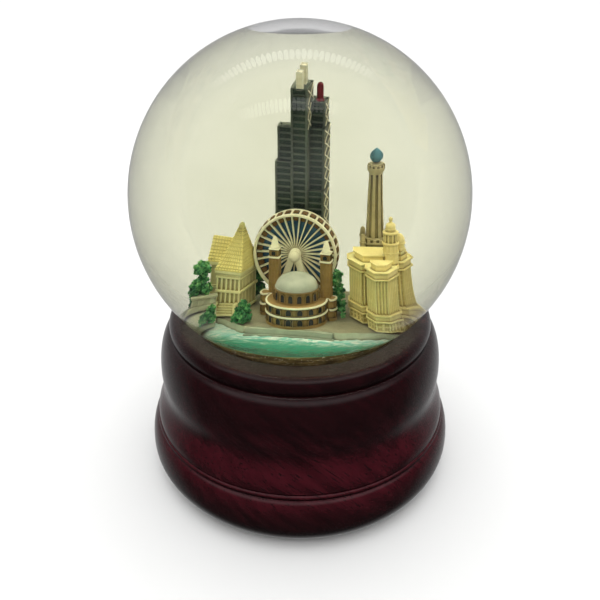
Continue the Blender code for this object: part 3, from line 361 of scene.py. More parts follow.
# finishes of the base and its fittings
def mahoganyFinish():
    look = {"dark": (0.007, 0.0005, 0.0010), "red": (0.024, 0.0014, 0.0036), "warm": (0.050, 0.0038, 0.0078),
            "upper": (0.046, 0.0030, 0.0070), "stain": (0.0028, 0.0005, 0.0007), "topRoll": (0.0030, 0.0006, 0.0008),
            "lowRoll": (0.0045, 0.0008, 0.0010), "rubbed": (0.020, 0.0065, 0.0050), "lean": radians(-38),
            "streak": 44, "pores": 150}
    finish = Finish("mahogany")
    leaning = finish.place(turn=(0, look["lean"], radians(6)))
    figure = finish.noise(finish.add("Mapping", {}, {"Vector": leaning, "Scale": (1, 9, 9)}), look["streak"], 6, 0.66)
    wander = finish.noise(finish.add("Mapping", {}, {"Vector": leaning, "Scale": (1, 3, 3)}), 30, 3)
    pores = finish.noise(finish.add("Mapping", {}, {"Vector": leaning, "Scale": (1, 15, 15)}), look["pores"], 2, 0.5)
    poreMask = pores.between(0.58, 0.70)
    facing = finish.add("SeparateXYZ", {}, {0: finish.add("TexCoord", output="Normal")}, output=2)
    downShade = facing.between(0.08, -0.22)
    height = finish.axes()[2]
    exposed = finish.add("AmbientOcclusion", {"samples": 8}, {"Distance": 0.010}, output="AO")
    tone = finish.ramp(figure, (0.30, look["dark"]), (0.48, look["red"]), (0.72, look["warm"]))
    coats = ((wander.between(0.38, 0.72) * 0.4, look["dark"]),
             (facing.between(0.10, 0.36) * 0.4, look["upper"]),  # painted light: redder where the turning faces up
             ((downShade * 0.85 + (1 - exposed).between(0.25, 0.6) * 0.8).clamp(), look["stain"]),  # painted shade below each roll and in the grooves between rolls
             # painted shade: the top roll darkened
             ((height + wander * 0.004).between(0.0355, 0.042) * 0.66, look["topRoll"]),
             # painted shade: the bottom roll darkened
             ((height - wander * 0.004).between(0.0165, 0.009) * 0.6, look["lowRoll"]),
             # painted light: the top face near the globe browner and lighter
             (facing.between(0.5, 0.9) * height.between(0.0515, 0.054) * 0.85, look["rubbed"]),
             (poreMask * 0.8, look["dark"]))
    for share, colour in coats:
        tone = finish.mix(share, tone, colour)
    finish.set(BaseColor=tone, Roughness=0.30 + figure * 0.14 + poreMask * 0.2, SpecularIORLevel=0.03,
               CoatWeight=0.7 + figure * 0.3, CoatRoughness=0.13)
    finish.bump(figure * 0.5 - poreMask, 0.5, 0.14)
    return finish.material


def rubberFinish():
    finish = Finish("goldRubber")
    speck = finish.noise(finish.place(), 900, 3)
    cloud = finish.noise(finish.place(), 60, 3)
    finish.set(BaseColor=finish.mix(cloud, (0.20, 0.13, 0.05), (0.34, 0.24, 0.11)), Roughness=0.55 + speck * 0.3)
    finish.bump(speck, 0.3, 0.06)
    return finish.material


def feltFinish():
    finish = Finish("greenFelt")
    fibre = finish.noise(finish.place(scale=(1, 1, 3)), 2600, 4, 0.7)
    cloud = finish.noise(finish.place(), 240, 3)
    tone = finish.mix(fibre, (0.004, 0.016, 0.009), (0.020, 0.060, 0.036))
    finish.set(BaseColor=finish.mix(cloud * 0.5, tone, (0.010, 0.030, 0.020)), Roughness=0.95, SheenWeight=0.6)
    finish.bump(fibre, 0.8, 0.18)
    return finish.material


def boardFinish():
    finish = Finish("hardboard")
    fibre = finish.noise(finish.place(scale=(1, 5, 1)), 420, 4, 0.65)
    fleck = finish.noise(finish.place(), 1500, 2)
    tone = finish.ramp(fibre, (0.3, (0.045, 0.022, 0.010)), (0.55, (0.105, 0.054, 0.026)),
                       (0.8, (0.170, 0.095, 0.050)))
    finish.set(BaseColor=finish.mix(fleck.between(0.6, 0.7) * 0.5, tone, (0.03, 0.015, 0.008)),
               Roughness=0.55 + fibre * 0.3)
    finish.bump(fibre + fleck * 0.4, 0.35, 0.08)
    return finish.material


def metalFinish(name, light, dark, rough, stretch, scale):  # turned or stamped metal with fine tool marks
    finish = Finish(name)
    marks = finish.noise(finish.place(scale=stretch), scale, 3, 0.6)
    cloud = finish.noise(finish.place(), 130, 4)
    tone = finish.mix(cloud.between(0.35, 0.75), light, dark)
    finish.set(BaseColor=tone, Metallic=1.0, Roughness=rough + marks * 0.16 + cloud * 0.08)
    finish.bump(marks, 0.12, 0.03)
    return finish.material


def plasticFinish():
    finish = Finish("fanPlastic")
    cloud = finish.noise(finish.place(), 300, 3)
    finish.set(BaseColor=finish.mix(cloud, (0.016, 0.016, 0.018), (0.045, 0.045, 0.048)),
               Roughness=0.32 + cloud * 0.25)
    finish.bump(finish.noise(finish.place(), 1600, 2), 0.15, 0.03)
    return finish.material


mahogany = mahoganyFinish()
rubber = rubberFinish()
felt = feltFinish()
board = boardFinish()
steel = metalFinish("steel", (0.62, 0.62, 0.63), (0.40, 0.40, 0.42), 0.22, (1, 1, 6), 700)
brass = metalFinish("brass", (0.78, 0.56, 0.24), (0.52, 0.34, 0.12), 0.20, (6, 1, 1), 600)
zinc = metalFinish("zinc", (0.58, 0.59, 0.60), (0.36, 0.37, 0.39), 0.38, (1, 1, 1), 900)
fanPlastic = plasticFinish()
print("base finishes ready")


# turned base: radius and height of each feature in mm
base = {"socketRadius": 32.8, "socketFloor": 45.5, "lip": (36, 55.9), "flat": (40.2, 55.6), "rim": (42.7, 52),
        "rimCrease": (42.2, 50.2), "swell": (46.75, 36.3), "cove": (46.4, 31), "skirt": (49.2, 20.4),
        "beadTop": (48.8, 20.0), "bead": (49.7, 19.2), "beadFoot": (48.9, 18.4), "roll": (52, 9.6),
        "foot": (48.2, 1.1), "recess": (40, 17.2), "cavity": (33.5, 41.5), "globeHeight": 91.03, "globeRadius": 50,
        "steps": 144}


def bulge(start, end, count):  # quarter ellipse, level at the start and upright at the end
    return [(start[0] + (end[0] - start[0]) * sin(pi / 2 * i / count),
             end[1] + (start[1] - end[1]) * cos(pi / 2 * i / count)) for i in range(1, count + 1)]


def tuck(start, end, count):  # quarter ellipse, upright at the start and level at the end
    return [(end[0] + (start[0] - end[0]) * cos(pi / 2 * i / count),
             start[1] + (end[1] - start[1]) * sin(pi / 2 * i / count)) for i in range(1, count + 1)]


def ogee(start, end, count):  # upright at both ends
    return [(start[0] + (end[0] - start[0]) * (1 - cos(pi * i / count)) / 2,
             start[1] + (end[1] - start[1]) * i / count) for i in range(1, count + 1)]


def rollUnder(roll, foot, count):
    low = acos(foot[0] / roll[0])
    drop = (roll[1] - foot[1]) / sin(low)
    return [(roll[0] * cos(low * i / count), roll[1] - drop * sin(low * i / count)) for i in range(1, count + 1)]


def dishArc(count):  # follows the glass from the socket wall up to the lip
    ball = base["globeRadius"] + 0.3
    spots = []
    for i in range(count):
        radius = base["socketRadius"] + (base["lip"][0] - base["socketRadius"]) * i / count
        spots.append((radius, base["globeHeight"] - sqrt(ball ** 2 - radius ** 2)))
    return spots


def makeBase():
    b = base
    profile = [(0, b["socketFloor"]), (b["socketRadius"], b["socketFloor"])] + dishArc(6) + [b["lip"], b["flat"]]
    profile += bulge(b["flat"], b["rim"], 10) + tuck(b["rim"], b["rimCrease"], 5)
    profile += bulge(b["rimCrease"], b["swell"], 16) + ogee(b["swell"], b["cove"], 6) + ogee(b["cove"], b["skirt"],
                                                                                             12)
    profile += [b["beadTop"]] + bulge(b["beadTop"], b["bead"], 4) + tuck(b["bead"], b["beadFoot"], 4)
    profile += bulge(b["beadFoot"], b["roll"], 14) + rollUnder(b["roll"], b["foot"], 10)
    profile += [(b["recess"][0], b["foot"][1]), b["recess"], (b["cavity"][0], b["recess"][1]), b["cavity"],
                (0, b["cavity"][1])]
    piece = startPiece("woodBase", [mahogany])
    addTurned(profile, b["steps"])
    endPiece(piece, "wood_base", 38)


makeBase()


# glass ball, liquid and the air left at its top, in mm
globe = {"centre": 91.03, "outer": 50.0, "inner": 47.5, "neckOuter": 32.5, "neckInner": 30.0, "neckFoot": 47.6,
         "level": 136.7, "floor": 54.62, "gap": 0.06, "meniscus": 0.26, "arcs": 64, "steps": 144,
         "glassBend": 1.5, "liquidBend": 1.345, "tint": (0.447, 0.454, 0.013), "thickness": 7.6,
         "rimTone": (0.14, 0.145, 0.145), "filmTone": (0.11, 0.12, 0.125), "meniscusTone": (0.004, 0.004, 0.003),
         "edgeRings": ((3.5, 2.9), (1.4, 0.1))}


def arcPoints(radius, lowHeight, highHeight, count):  # a ball's outline between two heights, upwards
    low = acos(min(1, (lowHeight - globe["centre"]) / radius))
    high = acos(min(1, (highHeight - globe["centre"]) / radius))
    turns = [low + (high - low) * i / count for i in range(count + 1)]
    return [(radius * sin(t), globe["centre"] + radius * cos(t)) for t in turns]


def ballHeight(radius, reach):  # height of the ball's lower half at a distance from its axis
    return globe["centre"] - sqrt(radius ** 2 - reach ** 2)


def clearFinish(name, bend, tint=(1.0, 1.0, 1.0), rim=0.0):  # clear sheet with faint cloudiness in its tint
    finish = Finish(name)
    cloud = finish.noise(finish.place(), 55, 2)
    clear = finish.mix(cloud, tuple(0.98 * tone for tone in tint), tint)
    edge = finish.add("LayerWeight", {}, {"Blend": 0.5}, output="Facing").between(0.30, 0.95) * rim
    tone = finish.mix(edge, clear, globe["rimTone"])  # painted shade: greyer where it is seen edge on
    finish.set(BaseColor=tone, Roughness=0.0, TransmissionWeight=1.0, IOR=bend)
    return finish


def fillVolume(finish):
    output = finish.tree.nodes["Material Output"]
    volume = finish.add("VolumeAbsorption", {}, {"Color": globe["tint"] + (1,), "Density": globe["thickness"]})
    finish.tree.links.new(volume.socket, output.inputs["Volume"])


def makeGlobe():
    g = globe
    dry = clearFinish("clearGlass", g["glassBend"], rim=1.0)
    wet = clearFinish("wettedGlass", g["glassBend"] / g["liquidBend"])
    neckTop = ballHeight(g["outer"], g["neckOuter"])
    innerLow = ballHeight(g["inner"], g["neckInner"])
    outside = [(g["neckOuter"], g["neckFoot"])] + arcPoints(g["outer"], neckTop, g["centre"] + g["outer"], g["arcs"])
    inside = arcPoints(g["inner"], innerLow, g["level"], g["arcs"])
    inside += arcPoints(g["inner"], g["level"], g["level"] + g["meniscus"], 2)[1:]
    inside += arcPoints(g["inner"], g["level"] + g["meniscus"], g["centre"] + g["inner"], 8)[1:]
    profile = outside + inside[::-1] + [(g["neckInner"], g["neckFoot"]), (g["neckOuter"], g["neckFoot"])]
    film = clearFinish("filmedGlass", g["glassBend"], g["filmTone"])
    # painted shade: the glass where the liquid climbs it is tinted nearly black
    edge = clearFinish("meniscus", g["glassBend"], g["meniscusTone"])
    piece = startPiece("glassBall", [dry.material, wet.material, film.material, edge.material])
    addTurned(profile, g["steps"])

    def wetted(face):
        middle = face.calc_center_median()
        reach = (middle - Vector((0, 0, g["centre"] * mm))).length
        return reach < (g["inner"] + 0.2) * mm and g["floor"] * mm < middle.z < g["level"] * mm

    def above(face):
        middle = face.calc_center_median()
        under = middle.length < (g["centre"] + g["inner"] + 0.3) * mm and face.normal.z < 0
        return under and middle.z > g["level"] * mm

    narrow("FACE", wetted)
    giveSlot(1)
    bpy.ops.mesh.select_linked()
    narrow("FACE", above)
    giveSlot(2)
    narrow("FACE", lambda face: face.calc_center_median().z < (g["level"] + g["meniscus"]) * mm)
    giveSlot(3)  # liquid that climbs the glass, tinted nearly black as painted shade
    endPiece(piece, "glass_globe", 60)


def makeLiquid():
    g = globe
    top = clearFinish("liquid", g["liquidBend"])
    fillVolume(top)
    side = Finish("liquidSide")
    side.tree.nodes.remove(side.shader)
    clear = side.add("BsdfTransparent")
    side.tree.links.new(clear.socket, side.tree.nodes["Material Output"].inputs["Surface"])
    fillVolume(side)
    radius = g["inner"] - g["gap"]
    neck = g["neckInner"] - g["gap"]
    wall = arcPoints(radius, ballHeight(radius, neck), g["level"], g["arcs"])
    profile = [(0, g["floor"]), (neck, g["floor"])] + wall + [(0, g["level"])]
    # painted shade: a dark ring where the liquid meets the glass
    edge = Finish("liquidEdgeShade")
    cloud = edge.noise(edge.place(), 260, 3)
    edge.set(BaseColor=edge.mix(cloud, (0.02, 0.02, 0.016), (0.10, 0.095, 0.075)), Roughness=0.15 + cloud * 0.2,
             Alpha=0.7 + cloud * 0.3)
    piece = startPiece("liquidFill", [side.material, top.material, edge.material])
    addTurned(profile, g["steps"])
    narrow("FACE", lambda face: face.calc_center_median().z > (g["level"] - 0.01) * mm)
    giveSlot(1)
    rim = sqrt(g["inner"] ** 2 - (g["level"] - g["centre"]) ** 2) - 0.1
    low = g["level"] - 0.12
    for inner, outer in g["edgeRings"]:  # edge that climbs the glass, and its crease, painted dark as painted shade
        near, far = rim - inner, rim - outer
        ring = [(near, low), (far, low), (far, low + 0.14), (near + 0.3, low + 0.27), (near, low + 0.25)]
        addTurned(ring, g["steps"], closed=True)
    giveSlot(2)
    endPiece(piece, "liquid_fill", 40)


makeGlobe()
makeLiquid()


# painted resin of the castings: a light coat and a darker coat mottled together,
# painted shade that darkens the corners and a painted highlight along the edges
def resinFinish(name, light, shade, cornerShade, grain=420, gloss=0.5, reach=0.6, hold=0.95, relief=0.05, brush=0.55):
    finish = Finish(name)
    highlightTone = tuple(min(0.95, tone * 1.3 + 0.03) for tone in light)
    cloud = finish.noise(finish.place(), grain, 4, 0.6)
    fine = finish.noise(finish.place(), grain * 6, 2)
    coat = finish.mix(cloud.between(0.32, 0.68), light, shade)
    exposed = finish.add("AmbientOcclusion", {"samples": 6, "only_local": True}, {"Distance": reach * mm},
                         output="AO")
    edge = finish.add("AmbientOcclusion", {"samples": 5, "only_local": True, "inside": True}, {"Distance": 0.22 * mm},
                      output="AO")
    # painted highlight: lighter paint along the convex edges
    coat = finish.mix((1 - edge).between(0.45, 0.9) * brush, coat, highlightTone)
    # painted shade: darker paint in corners and recesses
    coat = finish.mix((1 - exposed).between(0.12, 0.52) * hold, coat, cornerShade)
    finish.set(BaseColor=coat, Roughness=gloss + fine * 0.2, SpecularIORLevel=0.22)
    finish.bump(cloud * 0.6 + fine * 0.4, 0.3, relief)
    return finish.material


creamPaint = resinFinish("creamPaint", (0.95, 0.82, 0.40), (0.84, 0.69, 0.30), (0.28, 0.19, 0.055))
# darker paints for sunk windows: painted shade in the recesses
creamWindowShade = resinFinish("creamWindowShade", (0.62, 0.50, 0.20), (0.52, 0.41, 0.155), (0.20, 0.14, 0.04), brush=0.2)
palePaint = resinFinish("palePaint", (0.93, 0.87, 0.54), (0.83, 0.76, 0.43), (0.36, 0.29, 0.115))
paleWindowShade = resinFinish("paleWindowShade", (0.70, 0.62, 0.36), (0.62, 0.54, 0.29), (0.34, 0.27, 0.11), brush=0.2)
tilePaint = resinFinish("tilePaint", (0.92, 0.80, 0.34), (0.80, 0.67, 0.25), (0.26, 0.19, 0.05), reach=0.5)
brownPaint = resinFinish("brownPaint", (0.37, 0.235, 0.088), (0.26, 0.160, 0.056), (0.045, 0.025, 0.009), brush=0.3)
trimPaint = resinFinish("trimPaint", (0.95, 0.91, 0.74), (0.88, 0.83, 0.65), (0.36, 0.28, 0.16))
darkOpening = resinFinish("darkOpening", (0.022, 0.026, 0.034), (0.012, 0.014, 0.020), (0.004, 0.004, 0.006))
domePaint = resinFinish("domePaint", (0.50, 0.52, 0.46), (0.38, 0.40, 0.355), (0.15, 0.14, 0.12), grain=260)
wheelPaint = resinFinish("wheelPaint", (0.95, 0.91, 0.76), (0.89, 0.84, 0.67), (0.42, 0.33, 0.20), reach=0.3)
navyPaint = resinFinish("navyPaint", (0.055, 0.150, 0.31), (0.030, 0.090, 0.19), (0.008, 0.022, 0.050), reach=0.4,
                        brush=0.1)
cabinPaint = resinFinish("cabinPaint", (0.24, 0.13, 0.055), (0.15, 0.075, 0.032), (0.045, 0.022, 0.010), brush=0.2)
facadePaint = resinFinish("facadePaint", (0.105, 0.125, 0.105), (0.070, 0.088, 0.074), (0.016, 0.024, 0.020),
                          reach=0.5)
facadeGlass = resinFinish("facadeGlass", (0.014, 0.034, 0.027), (0.008, 0.020, 0.017), (0.003, 0.007, 0.006),
                          gloss=0.3, brush=0.0)
parapetPaint = resinFinish("parapetPaint", (0.26, 0.28, 0.23), (0.19, 0.21, 0.17), (0.06, 0.07, 0.055))
bracePaint = resinFinish("bracePaint", (0.16, 0.17, 0.14), (0.11, 0.12, 0.10), (0.035, 0.040, 0.032))
stoneShade = resinFinish("stoneShade", (0.42, 0.355, 0.205), (0.32, 0.265, 0.15), (0.080, 0.063, 0.032), brush=0.2)
stonePaint = resinFinish("stonePaint", (0.60, 0.515, 0.31), (0.46, 0.39, 0.225), (0.10, 0.078, 0.040))
tealPaint = resinFinish("tealPaint", (0.085, 0.245, 0.33), (0.050, 0.165, 0.23), (0.015, 0.06, 0.09))
redPaint = resinFinish("redPaint", (0.22, 0.012, 0.024), (0.14, 0.007, 0.015), (0.05, 0.003, 0.005))
print("paints ready")
# cast ground: a disc of painted water with the land and a terrace raised on it
ground = {"radius": 29.0, "foot": 54.8, "water": 59.3, "rim": 60.5, "land": 60.8, "wave": 0.13, "steps": 120,
          "shore": ((21.0, 1.5), (9.0, -1.2), (-12.5, 4.8), (-17.5, 13.0)), "wobble": 0.28,
          "terraceSpot": (-0.75, 8.0), "terraceYaw": radians(-16), "terraceLow": (-9.6, -7.3),
          "terraceHigh": (10.2, -2.5), "terraceTop": 60.7, "bankLow": (-24.2, 9.4), "bankHigh": (-17.8, 15.0),
          "bankTop": 63.2, "wallLow": (-22.5, 12.9), "wallHigh": (-18.2, 13.8), "wallTop": 65.3}


def pavingFinish():
    finish = Finish("paving")
    cloud = finish.noise(finish.place(), 260, 4, 0.6)
    fine = finish.noise(finish.place(), 2200, 3)
    slabs = finish.add("TexBrick", {"offset": 0.5}, {"Vector": finish.place(turn=(0, 0, 0.28)), "Scale": 420,
                                                     "Mortar Size": 0.012,
                       "Brick Width": 0.7, "Row Height": 0.42, "Mortar Smooth": 0.4}, output="Fac")
    exposed = finish.add("AmbientOcclusion", {"samples": 6, "only_local": False}, {"Distance": 2.2 * mm}, output="AO")
    tone = finish.mix(cloud.between(0.3, 0.7), (0.46, 0.43, 0.32), (0.31, 0.29, 0.215))
    tone = finish.mix(fine.between(0.5, 0.8) * 0.35, tone, (0.22, 0.19, 0.14))
    tone = finish.mix(slabs * 0.4, tone, (0.20, 0.17, 0.12))
    # painted shade: paving darker where walls and buildings stand close
    finish.set(BaseColor=finish.mix((1 - exposed).between(0.15, 0.8) * 0.7, tone, (0.10, 0.085, 0.06)),
               Roughness=0.6 + fine * 0.2, SpecularIORLevel=0.2)
    finish.bump(cloud + fine * 0.3 - slabs * 0.8, 0.3, 0.08)
    return finish.material


def waterFinish():  # surf white at the land, then aqua, then teal, and bare resin at the left and right ends
    finish = Finish("paintedWater")
    swell = finish.noise(finish.place(scale=(1, 2.6, 1)), 230, 4, 0.6)
    streak = finish.noise(finish.place(scale=(1, 4, 1), shift=(0.3, 0, 0)), 300, 3, 0.65)
    (x, y, z) = finish.axes()
    out = y * -0.961 - x * 0.276 + (swell - 0.5) * 0.005  # distance in front of the terrace's line
    tone = finish.ramp(out.between(-0.004, 0.018), (0.0, (0.62, 0.86, 0.84)), (0.20, (0.26, 0.66, 0.62)),
                       (0.38, (0.060, 0.38, 0.28)), (1.0, (0.030, 0.25, 0.16)))
    surf = (streak.between(0.48, 0.58) * out.between(0.007, 0.001)).clamp()
    tone = finish.mix(surf * 0.9, tone, (0.90, 0.95, 0.93))
    tone = finish.mix(streak.between(0.56, 0.74) * 0.12, tone, (0.30, 0.70, 0.60))
    ends = (x + (streak - 0.5) * 0.004).between(-0.0185, -0.0215)
    tone = finish.mix(ends, tone, (0.60, 0.60, 0.48))
    finish.set(BaseColor=tone, Roughness=0.16 + swell * 0.14, SpecularIORLevel=0.4)
    finish.bump(swell + streak * 0.6, 0.5, 0.2)
    return finish.material


def sandFinish():  # gold-brown side of the disc, dusted with glitter
    finish = Finish("goldSide")
    run = finish.noise(finish.place(scale=(1, 1, 5)), 160, 4, 0.6)
    fine = finish.noise(finish.place(), 1500, 2)
    cells = finish.add("TexVoronoi", {}, {"Vector": finish.place(), "Scale": 4200}, output="Color")
    glint = (finish.add("SeparateColor", {}, {0: cells}) > 0.955)
    tone = finish.ramp(run, (0.28, (0.040, 0.026, 0.006)), (0.46, (0.16, 0.105, 0.026)), (0.64, (0.42, 0.30, 0.10)))
    finish.set(BaseColor=finish.mix(glint, tone, (0.85, 0.78, 0.52)), Roughness=0.4 + fine * 0.2 - glint * 0.2,
               Metallic=glint * 0.8, SpecularIORLevel=0.3)
    finish.bump(run + fine * 0.2, 0.4, 0.12)
    return finish.material


def shoreOutline():
    g = ground
    reach = g["radius"] - 0.15
    (x0, y0), (x1, y1) = g["shore"][0], g["shore"][-1]
    start, end = atan2(y0, x0), atan2(y1, x1)
    line = [(reach * cos(start + (end - start) * i / 48),
             reach * sin(start + (end - start) * i / 48)) for i in range(49)]
    corners = g["shore"][::-1]
    for (ax, ay), (bx, by) in zip(corners, corners[1:]):
        steps = round(hypot(bx - ax, by - ay) / 1.1)
        for i in range(steps):
            share = i / steps
            away = g["wobble"] * (sin(share * steps * 0.9) + 0.6 * sin(share * steps * 2.3 + 1)) * sin(pi * share)
            line.append((ax + (bx - ax) * share, ay + (by - ay) * share + away))
    return line + [corners[-1]]


def turnToTerrace():
    g = ground
    turnSelected(g["terraceYaw"], (0, 0, 0))
    shiftSelected(g["terraceSpot"][0], g["terraceSpot"][1], 0)


def makeGround():
    g = ground
    stone = resinFinish("landSide", (0.62, 0.62, 0.48), (0.50, 0.50, 0.38), (0.20, 0.19, 0.13))
    terrace = resinFinish("terracePaint", (0.42, 0.46, 0.37), (0.32, 0.36, 0.285), (0.10, 0.115, 0.085), grain=300)
    piece = startPiece("groundCasting", [pavingFinish(), waterFinish(), sandFinish(), stone, terrace])
    rise = g["rim"] - g["water"]
    rings = [(r, g["water"] + rise * max(0, (r - 8) / 20) ** 1.5) for r in range(27, 0, -1)] + [(0, g["water"])]
    side = [(0, g["foot"]), (g["radius"] - 0.5, g["foot"]), (g["radius"], g["foot"] + 0.5),
            (g["radius"], g["rim"] - 0.5)]
    addTurned(side + [(g["radius"] - 0.15, g["rim"] - 0.12), (g["radius"] - 0.5, g["rim"])] + rings, g["steps"])
    giveSlot(3)
    narrow("FACE", lambda face: face.calc_center_median().y < 0 and abs(face.calc_center_median().x) < 26 * mm)
    giveSlot(2)
    bpy.ops.mesh.select_linked()
    narrow("FACE", lambda face: face.normal.z > 0.6)
    giveSlot(1)
    narrow("VERT", lambda vert: hypot(vert.co.x, vert.co.y) < 27.5 * mm)
    bpy.ops.transform.vertex_random(offset=g["wave"] * mm, normal=1.0, seed=4)
    addPrism(shoreOutline(), g["water"] - 0.6, g["land"])
    giveSlot(3)
    narrow("FACE", lambda face: face.normal.z > 0.7)
    giveSlot(0)
    bpy.ops.mesh.inset(thickness=0.35 * mm, depth=0)
    shiftSelected(0, 0, -0.08)
    (x0, y0), (x1, y1) = g["terraceLow"], g["terraceHigh"]
    for grow, top in ((0, g["terraceTop"]), (0.35, g["water"] + 0.35)):  # terrace and the footing under it
        addBlock((x0 - grow, y0 - grow, g["water"] - 0.6), (x1 + grow, y1, top))
        giveSlot(4)
        roundEdges(lambda edge: bothEnds(edge, 2, g["water"]), 0.12)
        turnToTerrace()
    (x0, y0), (x1, y1) = g["bankLow"], g["bankHigh"]  # bank that rises to the garden wall
    addBlock((x0, y0, g["land"] - 0.5), (x1, y1, g["bankTop"]))
    giveSlot(3)
    narrow("VERT", lambda vert: vert.co.z > g["bankTop"] * mm - 1e-6 and vert.co.y < (y0 + 0.1) * mm)
    shiftSelected(0, 0, g["land"] + 0.05 - g["bankTop"])
    bpy.ops.mesh.select_linked()
    roundEdges(lambda edge: bothEnds(edge, 2, g["land"]), 0.3, 3)
    (x0, y0), (x1, y1) = g["wallLow"], g["wallHigh"]  # garden wall with a coping
    addBlock((x0, y0, g["bankTop"] - 0.6), (x1, y1, g["wallTop"] - 0.5))
    giveSlot(3)
    cutEvenly(0, 4)
    sinkFaces(lambda face: abs(face.normal.y) > 0.9, 0.2, 0.1)
    for grow, low, high in ((0.3, g["wallTop"] - 0.5, g["wallTop"]), (0.2, g["bankTop"] - 0.6, g["bankTop"] + 0.3)):
        addSlab((x0 - grow, y0 - grow, low), (x1 + grow, y1 + grow, high), 3, 0.1)
    endPiece(piece, "resin_ground", 35)


makeGround()


# domed hall with a round front, its dome and its two towers
hall = {"centre": (-0.75, 8.0), "yaw": radians(-16), "floor": 61.1, "front": 6.6, "left": 8.9, "right": 8.1,
        "back": 4.5, "tier": 2.15, "ledge": 0.45, "spread": 0.42, "openings": 9, "fan": 176, "openingWidth": 1.45,
        "openingHeight": 1.58, "drumFloor": 65.3, "drumRadius": 5.0, "drumTop": 68.1, "domeRadius": 4.85,
        "domeTop": 71.2, "drumOpenings": 16, "towerSpread": 6.05, "towerBack": 3.25, "towerHalf": 1.17,
        "towerFoot": 65.3, "towerTop": 78.3}


def hallPlan(spread):  # deep round front between two short wings with rounded ends
    front = hall["front"] + spread
    turns = [radians(165 + 210 * i / 28) for i in range(29)]
    nose = [(front * cos(t), front * sin(t)) for t in turns]
    ear = [(-0.7, hall["back"]), (-0.25, 4.1), (0, 3.4), (-0.05, 2.6 - spread * 0.4), (-0.45, 1.95 - spread * 0.8),
           (-1.1, 1.65 - spread)]
    left = [(-hall["left"] - spread - x, y) for x, y in ear]
    return left + nose + [(hall["right"] + spread + x, y) for x, y in ear[::-1]]


def makeHall():
    h = hall
    piece = startPiece("domedHall", [brownPaint, darkOpening, trimPaint])
    for storey in range(2):
        low = h["floor"] + storey * h["tier"]
        addPrism(hallPlan(0), low, low + h["tier"] - 0.1)
        giveSlot(0)
        addPrism(hallPlan(h["spread"]), low + h["tier"] - h["ledge"], low + h["tier"])
        giveSlot(2)
        roundEdges(level, 0.16)
        narrow("FACE", facesUp)
        bpy.ops.mesh.inset(thickness=0.3 * mm, depth=-0.12 * mm)
        giveSlot(0)
        sill = low + 0.14
        addArch(0, -h["front"], sill, h["openingWidth"], h["openingHeight"])
        turnSelected(-radians(h["fan"] / 2), (0, 0, 0))
        fanCopies(h["openings"], -radians(h["fan"]))
        for side, reach in ((-1, h["left"]), (1, h["right"])):  # openings in the ends of the wings
            addArch(0, -reach, sill, 0.9, h["openingHeight"])
            turnSelected(side * pi / 2, (0, 0, 0))
            shiftSelected(0, 3.0, 0)
    addBlock((-1.05, -h["front"] - 0.4, h["floor"]), (1.05, -h["front"] + 0.4, h["floor"] + 1.72))  # main door
    giveSlot(0)
    sinkFaces(lambda face: face.normal.y < -0.9, 0.14, 0.2, 1)
    addPrism(hallPlan(0.22), h["floor"] - 0.4, h["floor"] + 0.18)
    giveSlot(0)
    placePiece(piece, (h["centre"][0], h["centre"][1], 0), (0, 0, h["yaw"]))
    endPiece(piece, "domed_hall", 30)


def makeDome():
    h = hall
    piece = startPiece("hallDome", [domePaint, brownPaint, darkOpening, trimPaint])
    drum = [(0, h["drumFloor"]), (h["drumRadius"], h["drumFloor"]), (h["drumRadius"], h["drumTop"] - 0.25),
            (h["drumRadius"] + 0.14, h["drumTop"] - 0.2), (h["drumRadius"] + 0.14, h["drumTop"]), (0, h["drumTop"])]
    addTurned(drum, 72)
    giveSlot(1)
    addArch(0, -h["drumRadius"], h["drumFloor"] + 0.4, 1.25, 1.95, slot=2, surround=1)
    ringCopies(h["drumOpenings"])
    shell = [(h["domeRadius"] + 0.05, h["drumTop"]), (h["domeRadius"] + 0.05, h["drumTop"] + 0.18),
             (h["domeRadius"] - 0.12, h["drumTop"] + 0.26)]
    rise = h["domeTop"] - h["drumTop"] - 0.26
    for i in range(1, 15):
        turn = pi / 2 * i / 14
        shell.append(((h["domeRadius"] - 0.12) * cos(turn), h["drumTop"] + 0.26 + rise * sin(turn)))
    addTurned([(0, h["drumTop"])] + shell, 72)
    giveSlot(0)
    placePiece(piece, (h["centre"][0], h["centre"][1], 0), (0, 0, h["yaw"]))
    endPiece(piece, "hall_dome", 40)


def makeHallTowers():
    h = hall
    half, foot, top = h["towerHalf"], h["towerFoot"], h["towerTop"]
    piece = startPiece("hallTowerLeft", [brownPaint, trimPaint, darkOpening])
    addBlock((-half, -half, foot), (half, half, top - 4.9))
    roundEdges(lambda edge: along(edge, 2), 0.14, 1)
    cutEvenly(2, 2)
    cutEvenly(0, 3)
    sinkFaces(lambda face: upright(face) and face.calc_area() > 1.5e-6, 0.16, 0.12)
    addSlab((-half - 0.16, -half - 0.16, top - 4.95), (half + 0.16, half + 0.16, top - 4.5), 1, 0.12)
    addBlock((-half + 0.12, -half + 0.12, top - 4.55), (half - 0.12, half - 0.12, top - 2.9))
    giveSlot(0)
    addArch(0, -half + 0.12, top - 4.4, 1.2, 1.3, proud=0.2, border=0.1, depth=0.12, slot=2)
    ringCopies(4)
    addSlab((-half - 0.04, -half - 0.04, top - 3.0), (half + 0.04, half + 0.04, top - 2.65), 1, 0.1)
    bell = [(0, top - 2.7), (1.08, top - 2.7), (1.06, top - 2.45), (0.88, top - 2.2), (0.78, top - 1.6),
            (0.64, top - 0.95), (0.46, top - 0.4), (0.26, top - 0.1), (0, top)]
    addTurned(bell, 16)
    giveSlot(1)
    other = copyPiece(piece, "hallTowerRight")
    for item, side, node in ((piece, -1, "hall_tower_left"), (other, 1, "hall_tower_right")):
        placePiece(item, (side * h["towerSpread"], h["towerBack"], 0))
        placePiece(item, (h["centre"][0], h["centre"][1], 0), (0, 0, h["yaw"]))
        endPiece(item, node, 35)


makeHall()
makeDome()
makeHallTowers()


